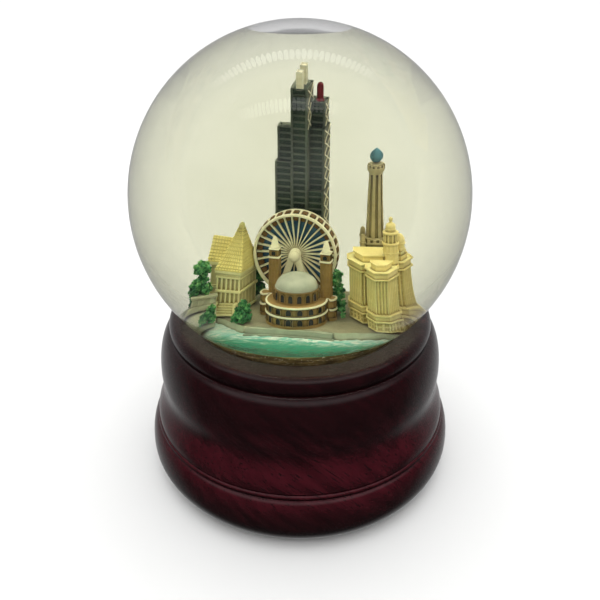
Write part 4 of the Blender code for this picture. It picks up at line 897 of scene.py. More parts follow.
# observation wheel on its frame; it is built lying on its back, with its front up
wheel = {"centre": (-0.8, 17.0, 73.05), "yaw": radians(-10), "rim": 9.55, "rimWidth": 0.62, "half": 2.0,
         "rimDepth": 0.7, "spokes": 30, "spokeWidth": 0.36, "spokeFoot": 1.3, "web": 0.3, "cabinReach": 9.7,
         "hub": 1.3, "footSpread": 5.0, "legWidth": 1.0, "frameNear": 2.3, "frameDepth": 0.8, "drop": 11.95}


def addSpoke(low, high):  # one spoke along X, slimmer at the hub
    w = wheel
    addBlock((w["spokeFoot"], -w["spokeWidth"] / 2, low), (w["rim"] - w["rimWidth"] + 0.1, w["spokeWidth"] / 2, high))
    narrow("VERT", lambda vert: vert.co.x < (w["spokeFoot"] + 0.1) * mm)
    bpy.ops.transform.resize(value=(1, 0.6, 1), center_override=(0, 0, 0))
    bpy.ops.mesh.select_linked()
    roundEdges(lambda edge: along(edge, 0), 0.08, 1)


def makeWheel():
    w = wheel
    inner, step = w["rim"] - w["rimWidth"], 2 * pi / w["spokes"]
    piece = startPiece("observationWheel", [wheelPaint, navyPaint, cabinPaint])
    for low in (w["half"] - w["rimDepth"], -w["half"]):  # two rims
        high = low + w["rimDepth"]
        ring = [(inner, low), (w["rim"] - 0.1, low), (w["rim"], low + 0.1), (w["rim"], high - 0.1),
                (w["rim"] - 0.1, high), (inner + 0.12, high), (inner, high - 0.12)]
        addTurned(ring, 120, closed=True)
        giveSlot(0)
    addTurned([(inner + 0.1, -1.4), (w["rim"] - 0.3, -1.4), (w["rim"] - 0.3, 1.4), (inner + 0.1, 1.4)], 120,
              closed=True)
    giveSlot(2)
    addTurned([(0, -w["web"]), (inner + 0.2, -w["web"]), (inner + 0.2, w["web"]), (0, w["web"])], 96)
    giveSlot(1)
    for low, high in ((w["web"] - 0.05, 1.15), (-1.15, -w["web"] + 0.05)):
        addSpoke(low, high)
        giveSlot(0)
        ringCopies(w["spokes"])
        middle = (low + high) / 2
        # a cabin between two spokes
        addBlock((inner - 1.25, -0.46, middle - 0.36), (inner + 0.05, 0.46, middle + 0.36))
        giveSlot(2)
        roundEdges(lambda edge: edge.verts[0].co.x < (inner - 1) * mm and edge.verts[1].co.x < (inner - 1) * mm, 0.22)
        turnSelected(step / 2, (0, 0, 0))
        ringCopies(w["spokes"])
    addBlock((w["rim"] - 0.4, -0.26, -1.5), (w["rim"] - 0.02, 0.26, 1.5))  # bar across the rim's edge
    giveSlot(0)
    roundEdges(lambda edge: along(edge, 2), 0.1, 1)
    ringCopies(w["spokes"])
    addBlock((w["rim"] - 0.35, -0.55, -0.95), (w["cabinReach"], 0.55, 0.95))  # cabin roof on the rim's edge
    giveSlot(2)
    roundEdges(lambda edge: bothEnds(edge, 0, w["rim"]), 0.2)
    turnSelected(step / 2, (0, 0, 0))
    ringCopies(w["spokes"])
    hub = [(0, -2.0), (0.9, -2.0), (1.15, -1.8), (w["hub"], -1.4), (w["hub"], 1.4), (1.15, 1.8), (0.9, 2.0), (0, 2.0)]
    addTurned(hub, 32)
    giveSlot(0)
    placePiece(piece, w["centre"], (pi / 2, 0, w["yaw"]))
    endPiece(piece, "observation_wheel", 32)


def makeWheelFrame():
    w = wheel
    near, far, foot = w["frameNear"], w["frameNear"] + w["frameDepth"], -w["drop"]
    piece = startPiece("wheelFrame", [wheelPaint])
    for side in (-1, 1):  # a leg each side, wider at the foot
        leg = [(side * w["footSpread"], foot), (side * (w["footSpread"] - w["legWidth"]), foot), (0, -1.3),
               (side * 1.35, 0)]
        addPrism(leg, near, far)
        roundEdges(level, 0.16)
    addBlock((-3.2, -7.6, near + 0.15), (3.2, -6.9, far - 0.15))  # tie bar
    roundEdges(lambda edge: along(edge, 0), 0.12)
    boss = [(0, near), (1.3, near), (1.35, far), (1.2, far + 0.15), (1.24, far + 0.5), (1.08, far + 0.9),
            (0.75, far + 1.2), (0.36, far + 1.36), (0, far + 1.38)]
    addTurned(boss, 32)
    placePiece(piece, w["centre"], (pi / 2, 0, w["yaw"]))
    endPiece(piece, "wheel_frame", 35)


makeWheel()
makeWheelFrame()


# stepped tower: six bays, each with its corners (low x, high x, low y, high y) and its height
tower = {"spot": (0.4, 22.0, 61.1), "yaw": radians(-14), "storey": 1.42, "lintel": 0.24, "sink": 0.16, "strip": 0.5,
         "brace": 2.9, "braced": ((0, 44.5), (3, 0), (4, 25.6), (5, 39.2)),  # bay and height where its bars start
         "bays": ((-1.875, 1.875, -2.55, 2.55, 48.0), (-5.625, -1.575, -2.25, 2.25, 31.9),
                  (-5.325, -1.575, -0.85, 1.95, 39.2), (1.575, 5.625, -2.25, 2.25, 25.6),
                  (1.575, 5.325, -0.85, 4.25, 39.2), (1.575, 5.025, 0.57, 3.95, 44.5)),
         "mastY": (-1.7, 1.7), "mastHalf": 0.7, "mastHeight": 2.9, "finial": (3.6, 1.7, 44.5), "finialHeight": 3.6}


def addBraces(x, lowY, highY, lowZ, highZ):  # crossed bars on a side that faces +X
    count = max(1, round((highZ - lowZ) / tower["brace"]))
    rise, width = (highZ - lowZ) / count, highY - lowY
    for i in range(count):
        middle = (x, (lowY + highY) / 2, lowZ + rise * (i + 0.5))
        for side in (-1, 1):
            long = hypot(rise, width) / 2 - 0.15
            addBlock((x - 0.05, middle[1] - 0.14, middle[2] - long), (x + 0.16, middle[1] + 0.14, middle[2] + long))
            giveSlot(3)
            turnSelected(side * acos(rise / hypot(rise, width)), middle, "X")


def makeTower():
    t = tower
    piece = startPiece("steppedTower", [facadePaint, facadeGlass, bracePaint, trimPaint, parapetPaint])
    for x0, x1, y0, y1, height in t["bays"]:
        addBlock((x0, y0, 0), (x1, y1, height))
        cutEvenly(2, round(height / t["storey"]))
        cutEvenly(1, 2)
        sinkFaces(lambda face: upright(face) and face.normal.x < 0.5, t["lintel"], t["sink"], 1)
        narrow("FACE", lambda face: face.normal.x > 0.9 and face.calc_center_median().x > (x1 - 0.05) * mm)
        giveSlot(2)
        bpy.ops.mesh.select_linked()
        narrow("FACE", lambda face: face.normal.z > 0.9 and face.calc_center_median().z > (height - 0.05) * mm)
        giveSlot(4)
        bpy.ops.mesh.inset(thickness=0.4 * mm, depth=-0.4 * mm)
        giveSlot(0)
        for x in (x0, x1 - t["strip"]):  # strips up the corners
            for y in (y0 - 0.08, y1 - 0.42):
                addBlock((x, y, 0), (x + t["strip"], y + 0.5, height - 0.05))
                giveSlot(0)
                roundEdges(lambda edge: along(edge, 2), 0.08, 1)
    for index, low in t["braced"]:
        x0, x1, y0, y1, height = t["bays"][index]
        addBraces(x1, y0 + 0.2, y1 - 0.2, low + 0.2, height - 0.2)
    x0, x1, y0, y1, height = t["bays"][0]
    addBraces(x1, y0 + 0.2, 0.4, 39.4, 44.5)
    placePiece(piece, t["spot"], (0, 0, t["yaw"]))
    endPiece(piece, "stepped_tower", 30)
    roof = t["bays"][0][4] - 0.4
    half = t["mastHalf"]
    mast = startPiece("mastFront", [trimPaint])
    addBlock((-half, -half, 0), (half, half, t["mastHeight"] + 0.7))
    cutEvenly(2, 3)
    sinkFaces(upright, 0.18, 0.1)
    narrow("FACE", lambda face: face.normal.z > 0.9 and face.calc_center_median().z > (t["mastHeight"] + 0.65) * mm)
    bpy.ops.mesh.inset(thickness=0.22 * mm, depth=-0.3 * mm)
    other = copyPiece(mast, "mastBack")
    for item, y, node in ((mast, t["mastY"][0], "mast_front"), (other, t["mastY"][1], "mast_back")):
        placePiece(item, (0, y, roof))
        placePiece(item, t["spot"], (0, 0, t["yaw"]))
        endPiece(item, node, 30)
    top = t["finialHeight"]
    finial = startPiece("redFinial", [redPaint])
    addTurned([(0, 0), (0.86, 0), (0.86, 0.3), (0.72, 0.45), (0.72, top - 0.9), (0.66, top - 0.5), (0.5, top - 0.2),
               (0.25, top - 0.04), (0, top)], 24)
    placePiece(finial, t["finial"])
    placePiece(finial, t["spot"], (0, 0, t["yaw"]))
    endPiece(finial, "red_finial", 35)


makeTower()


# stone tower with corner turrets, a fluted shaft and an onion cap
stone = {"spot": (16.7, 19.0, 61.1), "half": 2.6, "tier": 8.9, "baseTop": 14.4, "shaftFoot": 1.95, "shaftHead": 1.42,
         "top": 32.2, "turret": 0.62, "merlons": ((-1.6, -0.95), (-0.32, 0.32), (0.95, 1.6)), "capRadius": 1.4,
         "capHeight": 3.0}


def makeStoneTower():
    s = stone
    half, tier, baseTop = s["half"], s["tier"], s["baseTop"]
    piece = startPiece("stoneTower", [stonePaint, darkOpening, stoneShade])
    addBlock((-half, -half, 0), (half, half, tier))
    cutEvenly(2, 2)
    sinkFaces(upright, 0.45, 0.15)
    for high in (0.35, tier - 4.3):  # openings round both storeys
        for x in (-0.95, 0.95):
            addArch(x, -half + 0.15, high, 1.25, 2.9, proud=0.26, border=0.14, depth=0.18)
            ringCopies(4)
    # string courses
    for low, high, out in ((tier - 0.1, tier + 0.4, 0.4), (baseTop - 0.5, baseTop, 0.1), (0, 0.4, 0.2)):
        addBlock((-half - out, -half - out, low), (half + out, half + out, high))
        roundEdges(lambda edge: True, 0.12)
    upper = half - 0.4
    addBlock((-upper, -upper, tier), (upper, upper, baseTop))
    addArch(0, -upper, tier + 0.7, 1.5, 2.9, proud=0.26, border=0.15, depth=0.18)
    ringCopies(4)
    addBlock((-half, -half, baseTop - 0.1), (-half + 0.62, -half + 0.35, baseTop + 0.55))  # battlements
    for side in range(4):
        for left, right in s["merlons"]:
            addBlock((left, -half - 0.05, baseTop - 0.1), (right, -half + 0.35, baseTop + 0.55))
            turnSelected(side * pi / 2, (0, 0, 0))
    r = s["turret"]
    turret = [(0, 5.5), (r * 0.7, 5.8), (r, 6.3), (r, baseTop - 0.3), (r + 0.12, baseTop - 0.1),
              (r + 0.12, baseTop + 0.3), (r - 0.05, baseTop + 0.4), (r - 0.05, baseTop + 1.2),
              (r * 0.8, baseTop + 1.7), (r * 0.4, baseTop + 2.05), (0, baseTop + 2.15)]
    for x in (-half, half):
        for y in (-half, half):
            addTurned(turret, 16)
            shiftSelected(x, y, 0)
    foot, head, top = s["shaftFoot"], s["shaftHead"], s["top"]
    shaft = [(0, baseTop - 0.5), (foot + 0.25, baseTop - 0.5), (foot + 0.25, baseTop + 0.5), (foot, baseTop + 0.8),
             (head, top - 2.4), (0, top - 2.4)]
    addTurned(shaft, 16)

    def flute(face):
        middle = face.calc_center_median()
        return upright(face) and middle.z > (baseTop + 2) * mm and round(atan2(middle.y,
                                                                               middle.x) * 8 / pi - 0.5) % 2 == 0

    sinkFaces(flute, 0.05, 0.28, 2)
    collar = [(0, top - 2.5), (head, top - 2.5), (head + 0.1, top - 2.2), (head + 0.42, top - 1.6),
              (head + 0.46, top - 0.9), (head + 0.2, top - 0.9), (head + 0.05, top - 0.2), (0, top)]
    addTurned(collar, 24)
    addBlock((-0.22, -head - 0.46, top - 1.0), (0.22, -head - 0.12, top - 0.4))
    roundEdges(lambda edge: True, 0.05, 1)
    ringCopies(12)
    placePiece(piece, s["spot"])
    endPiece(piece, "stone_tower", 28)
    r, high = s["capRadius"], s["capHeight"]
    cap = startPiece("stoneTowerCap", [tealPaint])
    onion = [(0, 0), (r * 0.66, 0), (r * 0.72, high * 0.06), (r * 0.90, high * 0.18), (r, high * 0.34),
             (r * 0.98, high * 0.46), (r * 0.86, high * 0.60), (r * 0.62, high * 0.74), (r * 0.36, high * 0.85),
             (r * 0.17, high * 0.93), (0, high)]
    addTurned(onion, 32)
    placePiece(cap, (s["spot"][0], s["spot"][1], s["spot"][2] + top + 0.3))
    endPiece(cap, "stone_tower_cap", 40)


makeStoneTower()


# cream block: a front bay between two wings that fold back, with ribs, windows, cornices and two cupolas
block = {"spot": (17.6, 9.6, 61.1), "plinth": 1.9, "wall": 3.3, "wallTop": 11.1, "top": 13.0, "rib": 0.74,
         "storeys": 7, "plan": ((-5.4, 4.5), (-6.5, 3.4), (-6.5, 0.9), (-3.8, -3.3), (-2.5, -2.9), (-2.6, -5.6),
                                (-0.8, -8.9), (1.9, -8.7), (3.8, -4.4),
                  (3.4, -1.3), (4.9, -0.8), (6.3, 2.9), (5.8, 4.4)),
         "slabs": ((((-5.3, 3.9), (-5.3, 1.7), (-3.4, -1.6), (0.9, -1.2), (0.9, 3.9)), 1.4),
                   (((-1.7, -4.4), (-1.7, -5.6), (-0.5, -7.7), (1.5, -7.5), (2.7, -4.4)), 1.3),
                   (((0.9, 0.2), (1.6, -3.0), (3.4, -3.0), (4.1, -2.3), (4.1, -0.9), (3.4, 0.2)), 2.6),
                   (((2.5, 3.9), (2.5, 0.4), (4.6, 0.1), (5.7, 2.8), (5.3, 3.9)), 0.9),
                   (((2.8, 3.6), (2.8, 0.7), (4.5, 0.4), (5.4, 2.7), (5.1, 3.6)), 1.7),
                   (((3.2, 3.2), (3.2, 0.9), (4.5, 0.6), (5.2, 1.8), (5.0, 3.2)), 2.5)),
         "large": (20.1, 8.0, 76.0, 1.75, 8.6), "small": (21.9, 11.5, 75.9, 1.1, 3.7)}


def blockPlan(spread):  # the plan with every side moved out
    plan, grown = block["plan"], []
    for i, (x, y) in enumerate(plan):
        (px, py), (nx, ny) = plan[i - 1], plan[(i + 1) % len(plan)]
        first, second = hypot(x - px, y - py), hypot(nx - x, ny - y)
        ax, ay, bx, by = (py - y) / first, (x - px) / first, (y - ny) / second, (nx - x) / second
        share = -spread / (1 + ax * bx + ay * by)
        grown.append((x + (ax + bx) * share, y + (ay + by) * share))
    return grown


def addWall(low, high, spread, storeys, rib):  # ribs divide each side, and windows sit between the ribs, sunk and painted darker as painted shade
    addPrism(blockPlan(spread), low, high)
    giveSlot(0)
    mesh = bmesh.from_edit_mesh(bpy.context.edit_object.data)
    lengths = {round(edge.calc_length() / mm, 2) for edge in mesh.edges if edge.select and not along(edge, 2)}
    done = 0
    for length in sorted(lengths):
        cuts = round(length / rib) - 1
        if cuts > 0 and length - done > 0.07:
            narrow("EDGE", lambda edge: not along(edge, 2) and abs(edge.calc_length() / mm - length) < 0.06)
            bpy.ops.mesh.subdivide(number_cuts=cuts)
            bpy.ops.mesh.select_linked()
            done = length
    narrow("FACE", upright)
    bpy.ops.mesh.inset(use_individual=True, thickness=0.15 * mm, depth=-0.16 * mm)
    giveSlot(1)
    narrow("EDGE", lambda edge: along(edge, 2))
    bpy.ops.mesh.subdivide(number_cuts=storeys - 1)
    bpy.ops.mesh.select_linked()
    narrow("FACE", lambda face: face.material_index == 1)
    giveSlot(0)
    bpy.ops.mesh.inset(use_individual=True, thickness=0.13 * mm, depth=-0.12 * mm)
    giveSlot(1)


def addCourse(low, high, spread, soft=0.07):  # a moulding round the plan
    addPrism(blockPlan(spread), low, high)
    giveSlot(0)
    roundEdges(level, soft)


def addCupola(radius, height):  # tiers of a round turret: shaft, columns, rings, dome and knob
    r, h = radius, height
    addTurned([(0, 0), (r * 0.9, 0), (r * 0.9, h * 0.28), (0, h * 0.28)], 12)
    sinkFaces(upright, 0.14, 0.12)
    addTurned([(0, h * 0.27), (r * 0.94, h * 0.27), (r * 1.04, h * 0.285), (r * 1.04, h * 0.315),
               (r * 0.86, h * 0.33), (0, h * 0.33)], 24)
    addTurned([(0, h * 0.32), (r * 0.68, h * 0.32), (r * 0.68, h * 0.56), (0, h * 0.56)], 24)
    addTurned([(0, h * 0.32), (r * 0.13, h * 0.32), (r * 0.11, h * 0.56), (0, h * 0.56)], 8)
    shiftSelected(r * 0.76, 0, 0)
    ringCopies(10)
    addTurned([(0, h * 0.55), (r * 0.86, h * 0.55), (r * 0.97, h * 0.565), (r * 0.97, h * 0.60),
               (r * 0.74, h * 0.615), (r * 0.54, h * 0.62), (r * 0.54, h * 0.66), (r * 0.64, h * 0.67),
               (r * 0.64, h * 0.70), (r * 0.57, h * 0.71), (r * 0.57, h * 0.74), (r * 0.62, h * 0.75),
               (r * 0.60, h * 0.78), (r * 0.50, h * 0.81), (r * 0.34, h * 0.835), (r * 0.20, h * 0.85),
               (r * 0.17, h * 0.885), (r * 0.25, h * 0.91), (r * 0.25, h * 0.955), (r * 0.16, h * 0.985), (0, h)], 24)


def addDome(radius, height):  # a plain dome on two rings
    r, h = radius, height
    addTurned([(0, 0), (r * 1.05, 0), (r * 1.05, h * 0.12), (r * 0.92, h * 0.16), (r * 0.92, h * 0.36),
               (r * 1.08, h * 0.40), (r * 1.08, h * 0.47), (r * 0.96, h * 0.50), (r * 0.98, h * 0.60),
               (r * 0.88, h * 0.74), (r * 0.66, h * 0.88), (r * 0.36, h * 0.97), (0, h)], 24)


def makeBlock():
    b = block
    piece = startPiece("creamBlock", [creamPaint, creamWindowShade])
    addWall(0, b["plinth"], 0.2, 1, 1.2)
    addCourse(b["plinth"] - 0.1, b["plinth"] + 0.22, 0.5)
    addCourse(b["plinth"] + 0.15, b["wall"] - 0.2, 0.16)
    addCourse(b["wall"] - 0.25, b["wall"] + 0.1, 0.45)
    addWall(b["wall"], b["wallTop"], 0, b["storeys"], b["rib"])
    addCourse(b["wallTop"] - 0.1, b["wallTop"] + 0.24, 0.42)
    addCourse(b["wallTop"] + 0.2, b["top"] - 0.3, 0.06)
    addCourse(b["top"] - 0.36, b["top"], 0.52)
    narrow("FACE", facesUp)
    bpy.ops.mesh.inset(thickness=0.4 * mm, depth=-0.25 * mm)
    for plan, rise in b["slabs"]:  # raised parts of the roof, each with a rim
        addPrism(plan, b["top"] - 0.5, b["top"] + rise - 0.3)
        giveSlot(0)
        middle = [sum(corner[axis] for corner in plan) / len(plan) for axis in (0, 1)]
        narrow("FACE", facesUp)
        bpy.ops.mesh.extrude_region_move()
        bpy.ops.transform.resize(value=(1.12, 1.12, 1), center_override=spot(middle[0], middle[1], 0))
        pullFaces(0, 0, 0.3)
        bpy.ops.mesh.inset(thickness=0.35 * mm, depth=-0.2 * mm)
        bpy.ops.mesh.select_linked()
    placePiece(piece, b["spot"])
    endPiece(piece, "cream_block", 30)
    for name, node, key, build in (("cupolaLarge", "cupola_large", "large", addCupola),
                                   ("cupolaSmall", "cupola_small", "small", addDome)):
        x, y, z, radius, height = b[key]
        cupola = startPiece(name, [creamPaint])
        build(radius, height)
        placePiece(cupola, (x, y, z))
        endPiece(cupola, node, 35)


makeBlock()


# hall with steep tiled roofs, a colonnade, front steps and a gabled wing
museum = {"spot": (-14.0, 17.2, 61.1), "yaw": radians(-27), "half": (2.65, 3.9), "wall": 8.9, "roof": 10.3,
          "lean": 1.2, "eave": 0.5, "courses": 13, "tile": 0.72, "lap": 0.14, "flare": 1.16, "wingSpot": (-3.0, 0.2),
          "wingHalf": (2.35, 1.8), "wingWall": 9.9, "wingRoof": 5.2, "porch": 1.6, "porchTop": 2.0}


# courses of tiles that lap, up to a ridge of half length ridge; the ridge may stand off centre
def addRoof(half, low, rise, ridge, count, lean=0):
    m = museum
    x, y = half
    addBlock((-x, -y, low - 0.02), (x, y, low))
    for i in range(count):
        share = (i + 1) / count
        nx, ny = x + (ridge - x) * share, y * (1 - share) + 0.05
        px, py = x + (ridge - x) * i / count, y * (1 - i / count) + (0.05 if i else 0)
        grow = m["lap"] if i else 0
        here, there = spot(lean * i / count, 0, 0), spot(lean * share, 0, 0)
        climb = rise * (share ** m["flare"] - (i / count) ** m["flare"])
        narrow("FACE", facesUp)
        bpy.ops.mesh.extrude_region_move()
        bpy.ops.transform.resize(value=((px + grow) / px, (py + grow) / py, 1), center_override=here)
        pullFaces(0, 0, 0.13)
        pullFaces(lean / count, 0, climb - 0.13)
        bpy.ops.transform.resize(value=(nx / (px + grow), ny / (py + grow), 1), center_override=there)
        bpy.ops.mesh.select_linked()
    giveSlot(1)
    for axis, size in ((0, x), (1, y)):
        cutEvenly(axis, max(2, round(2 * size / m["tile"])))
    narrow("FACE", lambda face: 0.1 < face.normal.z < 0.9 and face.calc_area() > 0.03e-6)
    bpy.ops.mesh.inset(use_individual=True, thickness=0.07 * mm, depth=0.09 * mm)
    bpy.ops.mesh.select_linked()


def addFront(half, low, high, columns, side):  # a row of columns on one side of the hall
    for i in range(columns + 1):
        x = -half + 2 * half * i / columns
        addBlock((x - 0.2, side - 0.24, low), (x + 0.2, side + 0.1, high))
        giveSlot(0)
        roundEdges(lambda edge: along(edge, 2), 0.09)


def makeMuseum():
    m = museum
    x, y = m["half"]
    wall = m["wall"]
    piece = startPiece("museumHall", [palePaint, tilePaint, paleWindowShade])
    addBlock((-x, -y, 0), (x, y, wall - 0.7))
    cutEvenly(2, 2)
    cutEvenly(0, 5)
    cutEvenly(1, 5)
    # sunk windows in the darker paint, as painted shade
    sinkFaces(upright, 0.18, 0.14, 2)
    addFront(x - 0.1, 4.6, wall - 1.7, 5, -y)
    addFront(x - 0.1, 1.9, 4.2, 5, -y)
    for low, high, out in ((0, 0.5, 0.25), (4.1, 4.7, 0.32), (wall - 1.75, wall - 1.3, 0.3),
                           (wall - 1.35, wall - 0.6, 0.16), (wall - 0.65, wall, m["eave"])):
        addSlab((-x - out, -y - out, low), (x + out, y + out, high), 0, 0.1)
    addRoof((x + m["eave"], y + m["eave"]), wall, m["roof"], 0.12, m["courses"], m["lean"])
    treads = 5
    for i in range(treads):  # front steps
        high = m["porchTop"] * (treads - i) / treads
        addBlock((-x + 0.7, -y - m["porch"] * (i + 1) / treads - 0.1, 0), (x - 0.7, -y + 0.3, high))
        giveSlot(0)
    for side in (-1, 1):
        addSlab((side * (x - 0.4) - 0.35, -y - m["porch"], 0), (side * (x - 0.4) + 0.35, -y + 0.2,
                                                                m["porchTop"] + 0.25), 0, 0.1)
    placePiece(piece, m["spot"], (0, 0, m["yaw"]))
    endPiece(piece, "museum_hall", 30)

    wing = startPiece("museumWing", [palePaint, tilePaint, paleWindowShade])
    wx, wy = m["wingHalf"]
    high = m["wingWall"]
    addBlock((-wx, -wy, 0), (wx, wy, high - 0.7))
    cutEvenly(2, 2)
    cutEvenly(0, 3)
    cutEvenly(1, 4)
    # sunk windows in the darker paint, as painted shade
    sinkFaces(upright, 0.18, 0.14, 2)
    for low, top, out in ((0, 0.5, 0.2), (4.0, 4.5, 0.25), (high - 0.75, high, m["eave"])):
        addSlab((-wx - out, -wy - out, low), (wx + out, wy + out, top), 0, 0.1)
    addRoof((wx + m["eave"], wy + m["eave"]), high, m["wingRoof"], wx + m["eave"] - 0.25, 8)
    placePiece(wing, (m["wingSpot"][0], m["wingSpot"][1], 0))
    placePiece(wing, m["spot"], (0, 0, m["yaw"]))
    endPiece(wing, "museum_wing", 30)


makeMuseum()


# foliage: clumps of leaves, each a list of (x, y, z, radius) in mm above the city floor
foliage = {"floor": 61.1, "leaf": 0.4, "push": 0.36, "sprigs": 11,
           "clumps": {"tree_left": ((-21.2, 14.6, 9.4, 1.75), (-21.9, 14.2, 6.0, 1.45), (-20.3, 14.1, 5.3, 1.35),
                                    (-21.1, 14.6, 6.8, 1.3), (-22.3, 14.3, 4.9, 1.1),
                         (-21.2, 15.2, 3.0, 1.5)),
           "bush_front_left": ((-20.0, 9.5, 0.9, 0.95), (-18.7, 9.2, 0.8, 0.85), (-19.3, 9.7, 1.5, 1.0),
                               (-19.0, 9.9, 2.4, 0.85)),
           "bush_front": ((-14.0, 7.3, 0.7, 1.05), (-12.6, 6.7, 0.7, 1.1), (-11.5, 7.3, 0.8, 1.0),
                          (-13.2, 7.7, 2.0, 1.2), (-12.0, 7.9, 2.2, 1.2), (-12.6, 8.1, 3.3, 0.95)),
           "bush_behind_hall": ((-9.4, 22.6, 1.8, 1.6), (-9.6, 22.4, 4.4, 1.6), (-9.0, 22.8, 6.6, 1.5)),
           "bush_right": ((8.5, 12.0, 1.5, 1.35), (8.2, 12.0, 3.4, 1.3), (8.7, 12.0, 5.2, 1.3),
                          (8.2, 12.0, 7.0, 1.25), (8.5, 12.0, 8.4, 1.15), (9.5, 9.9, 4.4, 0.7), (9.6, 9.2, 3.1, 0.7),
                          (9.5, 8.5, 1.9, 0.7), (9.5, 7.8, 0.9, 0.7))}}


def leafFinish():
    finish = Finish("leafPaint")
    clump = finish.noise(finish.place(), 900, 3, 0.6)
    fine = finish.noise(finish.place(), 3000, 2)
    exposed = finish.add("AmbientOcclusion", {"samples": 6, "only_local": True}, {"Distance": 0.7 * mm}, output="AO")
    tone = finish.ramp(clump, (0.28, (0.012, 0.080, 0.040)), (0.44, (0.040, 0.20, 0.078)),
                       (0.58, (0.12, 0.37, 0.125)), (0.72, (0.36, 0.60, 0.24)))
    # painted shade: darker deep inside the clumps
    finish.set(BaseColor=finish.mix((1 - exposed).between(0.25, 0.8) * 0.92, tone, (0.004, 0.030, 0.016)),
               Roughness=0.5 + fine * 0.2, SpecularIORLevel=0.25)
    finish.bump(clump + fine * 0.4, 0.5, 0.12)
    return finish.material


def makeFoliage():
    f = foliage
    green = leafFinish()
    lumps = bpy.data.textures.new("leafLumps", "VORONOI")
    lumps.noise_scale = f["leaf"] * mm
    lumps.noise_intensity = 1.3
    for node, balls in f["clumps"].items():
        name = node.split("_")[0] + "".join(word.capitalize() for word in node.split("_")[1:])
        piece = startPiece(name, [green])
        for x, y, z, radius in balls:
            bpy.ops.mesh.primitive_ico_sphere_add(subdivisions=4, radius=radius * 0.85 * mm,
                                                  location=spot(x, y, f["floor"] + z))
            for i in range(f["sprigs"]):  # smaller lumps all over the large one
                lift = 1 - 2 * (i + 0.5) / f["sprigs"]
                out, turn = radius * 0.78 * sqrt(1 - lift * lift), i * 2.4 + x * 7
                place = spot(x + out * cos(turn), y + out * sin(turn), f["floor"] + z + radius * 0.78 * lift)
                bpy.ops.mesh.primitive_ico_sphere_add(subdivisions=3, radius=radius * 0.42 * mm, location=place)
        objectMode()
        piece.select_set(True)
        bpy.context.view_layer.objects.active = piece
        push = piece.modifiers.new("leaves", "DISPLACE")
        push.texture = lumps
        push.texture_coords = "LOCAL"
        push.strength = -f["push"] * mm
        push.mid_level = 0.35
        bpy.ops.object.modifier_apply(modifier=push.name)
        bpy.ops.object.mode_set(mode="EDIT")
        bpy.ops.mesh.select_all(action="SELECT")
        bpy.ops.mesh.select_mode(type="VERT")
        narrow("VERT", lambda vert: vert.co.z < (f["floor"] - 0.2) * mm)
        bpy.ops.transform.resize(value=(1, 1, 0), center_override=spot(0, 0, f["floor"] - 0.2))
        endPiece(piece, node, 180)


makeFoliage()


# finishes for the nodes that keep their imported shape
keptFinishes = {"rubber": rubber, "felt": felt, "fibreboard": board, "steel": steel, "brass": brass, "zinc": zinc,
                "plastic": fanPlastic}


def dressNodes():
    slots = {item["node"]: item["material_slot"] for item in frame["record"]["subparts"]}
    kept = [name for name in frame["nodes"] if slots.get(name) in keptFinishes]
    for name in kept:
        materials = frame["nodes"][name].data.materials
        for index in range(len(materials)):
            materials[index] = keptFinishes[slots[name]]
    print("dressed", len(kept), "nodes")


dressNodes()


# floor, light and camera
stage = {"floorRadius": 14.0, "floorTone": (0.37, 0.37, 0.368), "cameraSpot": (0, -0.1729, 0.15163),
         "cameraTilt": 61.33, "lens": 36.0, "tent": 1.0, "tentSides": 0.55, "overhead": 5.0, "band": 0.6,
         "mirrorFront": 0.05, "mirrorBack": 0.5, "lampGap": 0.036, "lampSize": (0.032, 0.15), "lampPower": 0.018,
         "fade": 0.85, "strips": ((-0.55, 0.36, -0.21, 0.96), (-0.66, 0.58, 0.36, 0.894))}


def makeFloor():
    piece = startPiece("floor", [])
    bpy.ops.mesh.primitive_circle_add(vertices=96, radius=0.6, fill_type="NGON", location=(0, 0, 0))
    bpy.ops.mesh.select_mode(type="FACE")
    bpy.ops.mesh.inset(thickness=0.3)
    bpy.ops.mesh.select_mode(type="EDGE")
    bpy.ops.mesh.select_all(action="SELECT")
    narrow("EDGE", lambda edge: edge.is_boundary)
    bpy.ops.mesh.extrude_edges_move()
    bpy.ops.transform.resize(value=(stage["floorRadius"] / 0.6,) * 3, center_override=(0, 0, 0))
    bpy.ops.mesh.select_all(action="SELECT")
    bpy.ops.mesh.normals_make_consistent(inside=False)
    objectMode()
    finish = Finish("paleFloor")
    mottle = finish.noise(finish.place(), 9, 3)
    tone = stage["floorTone"]
    finish.set(BaseColor=finish.mix(mottle, tuple(0.985 * c for c in tone), tone), Roughness=0.8 + mottle * 0.1,
               SpecularIORLevel=0.1)
    piece.data.materials.append(finish.material)
    piece.visible_glossy = False  # keeps the floor's white out of the glass


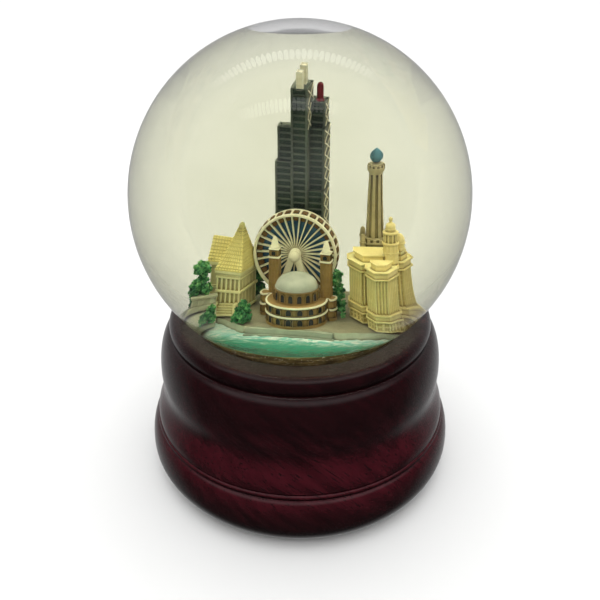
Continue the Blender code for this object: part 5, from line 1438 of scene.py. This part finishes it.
def makeWorld():  # a white tent: brighter overhead for what it lights, dark at its open front for what mirrors it
    world = bpy.data.worlds.new("studio")
    bpy.context.scene.world = world
    world.use_nodes = True
    sky = Finish("studio", world.node_tree)
    split = sky.add("SeparateXYZ", {}, {0: sky.add("TexCoord", output="Generated")}).socket.node
    x, y, z = [Value(output) for output in split.outputs]
    path = sky.add("LightPath").socket.node
    mirror = Value(path.outputs["Is Glossy Ray"]) * Value(path.outputs["Is Reflection Ray"])
    lit = Value(path.outputs["Diffuse Depth"]) > 0.5
    side = (x * x).between(0.45, 0.95) * (1 - Value(path.outputs["Is Camera Ray"]))
    tent = stage["tent"] - side * (stage["tent"] - stage["tentSides"]) + lit * z.between(0.5,
                                                                                         0.95) * stage["overhead"]
    shine = stage["mirrorFront"] + y.between(-0.1, 0.75) * (stage["mirrorBack"] - stage["mirrorFront"])
    shine = shine + z.between(0.30, 0.55) * z.between(0.95, 0.70) * y.between(0.1, -0.3) * stage["band"]
    back = world.node_tree.nodes["Background"]
    back.inputs["Color"].default_value = (1.0, 1.0, 1.0, 1)
    feed(back.inputs["Strength"], tent * (1 - mirror) + shine * mirror)


def addStrip(name, left, right, y, z):  # a row of small lamps that the glass mirrors as an arc
    count = round((right - left) / stage["lampGap"])
    for i in range(count + 1):
        objectMode()
        bpy.ops.object.light_add(type="AREA", location=(left + i * stage["lampGap"], y, z))
        lamp = bpy.context.object
        lamp.name = name + str(i)
        lamp.data.shape = "ELLIPSE"
        lamp.data.size, lamp.data.size_y = stage["lampSize"]
        lamp.data.energy = stage["lampPower"] * (1 - stage["fade"] * (2 * i / count - 1) ** 2)  # fainter to the ends
        lamp.visible_transmission = False
        lamp.rotation_euler = (Vector((lamp.location.x, 0, 0.09)) - lamp.location).to_track_quat("-Z", "Y").to_euler()


def makeCamera():
    objectMode()
    bpy.ops.object.camera_add(location=stage["cameraSpot"], rotation=(radians(stage["cameraTilt"]), 0, 0))
    camera = bpy.context.object
    camera.data.lens = stage["lens"]
    camera.data.sensor_width = 36.0
    camera.data.clip_start, camera.data.clip_end = 0.01, 100.0
    bpy.context.scene.camera = camera


makeFloor()
makeWorld()
for name, strip in zip(("topStrip", "backStrip"), stage["strips"]):
    addStrip(name, *strip)
makeCamera()
bpy.context.scene.view_settings.view_transform = "Standard"
print("stage ready")

objectMode()
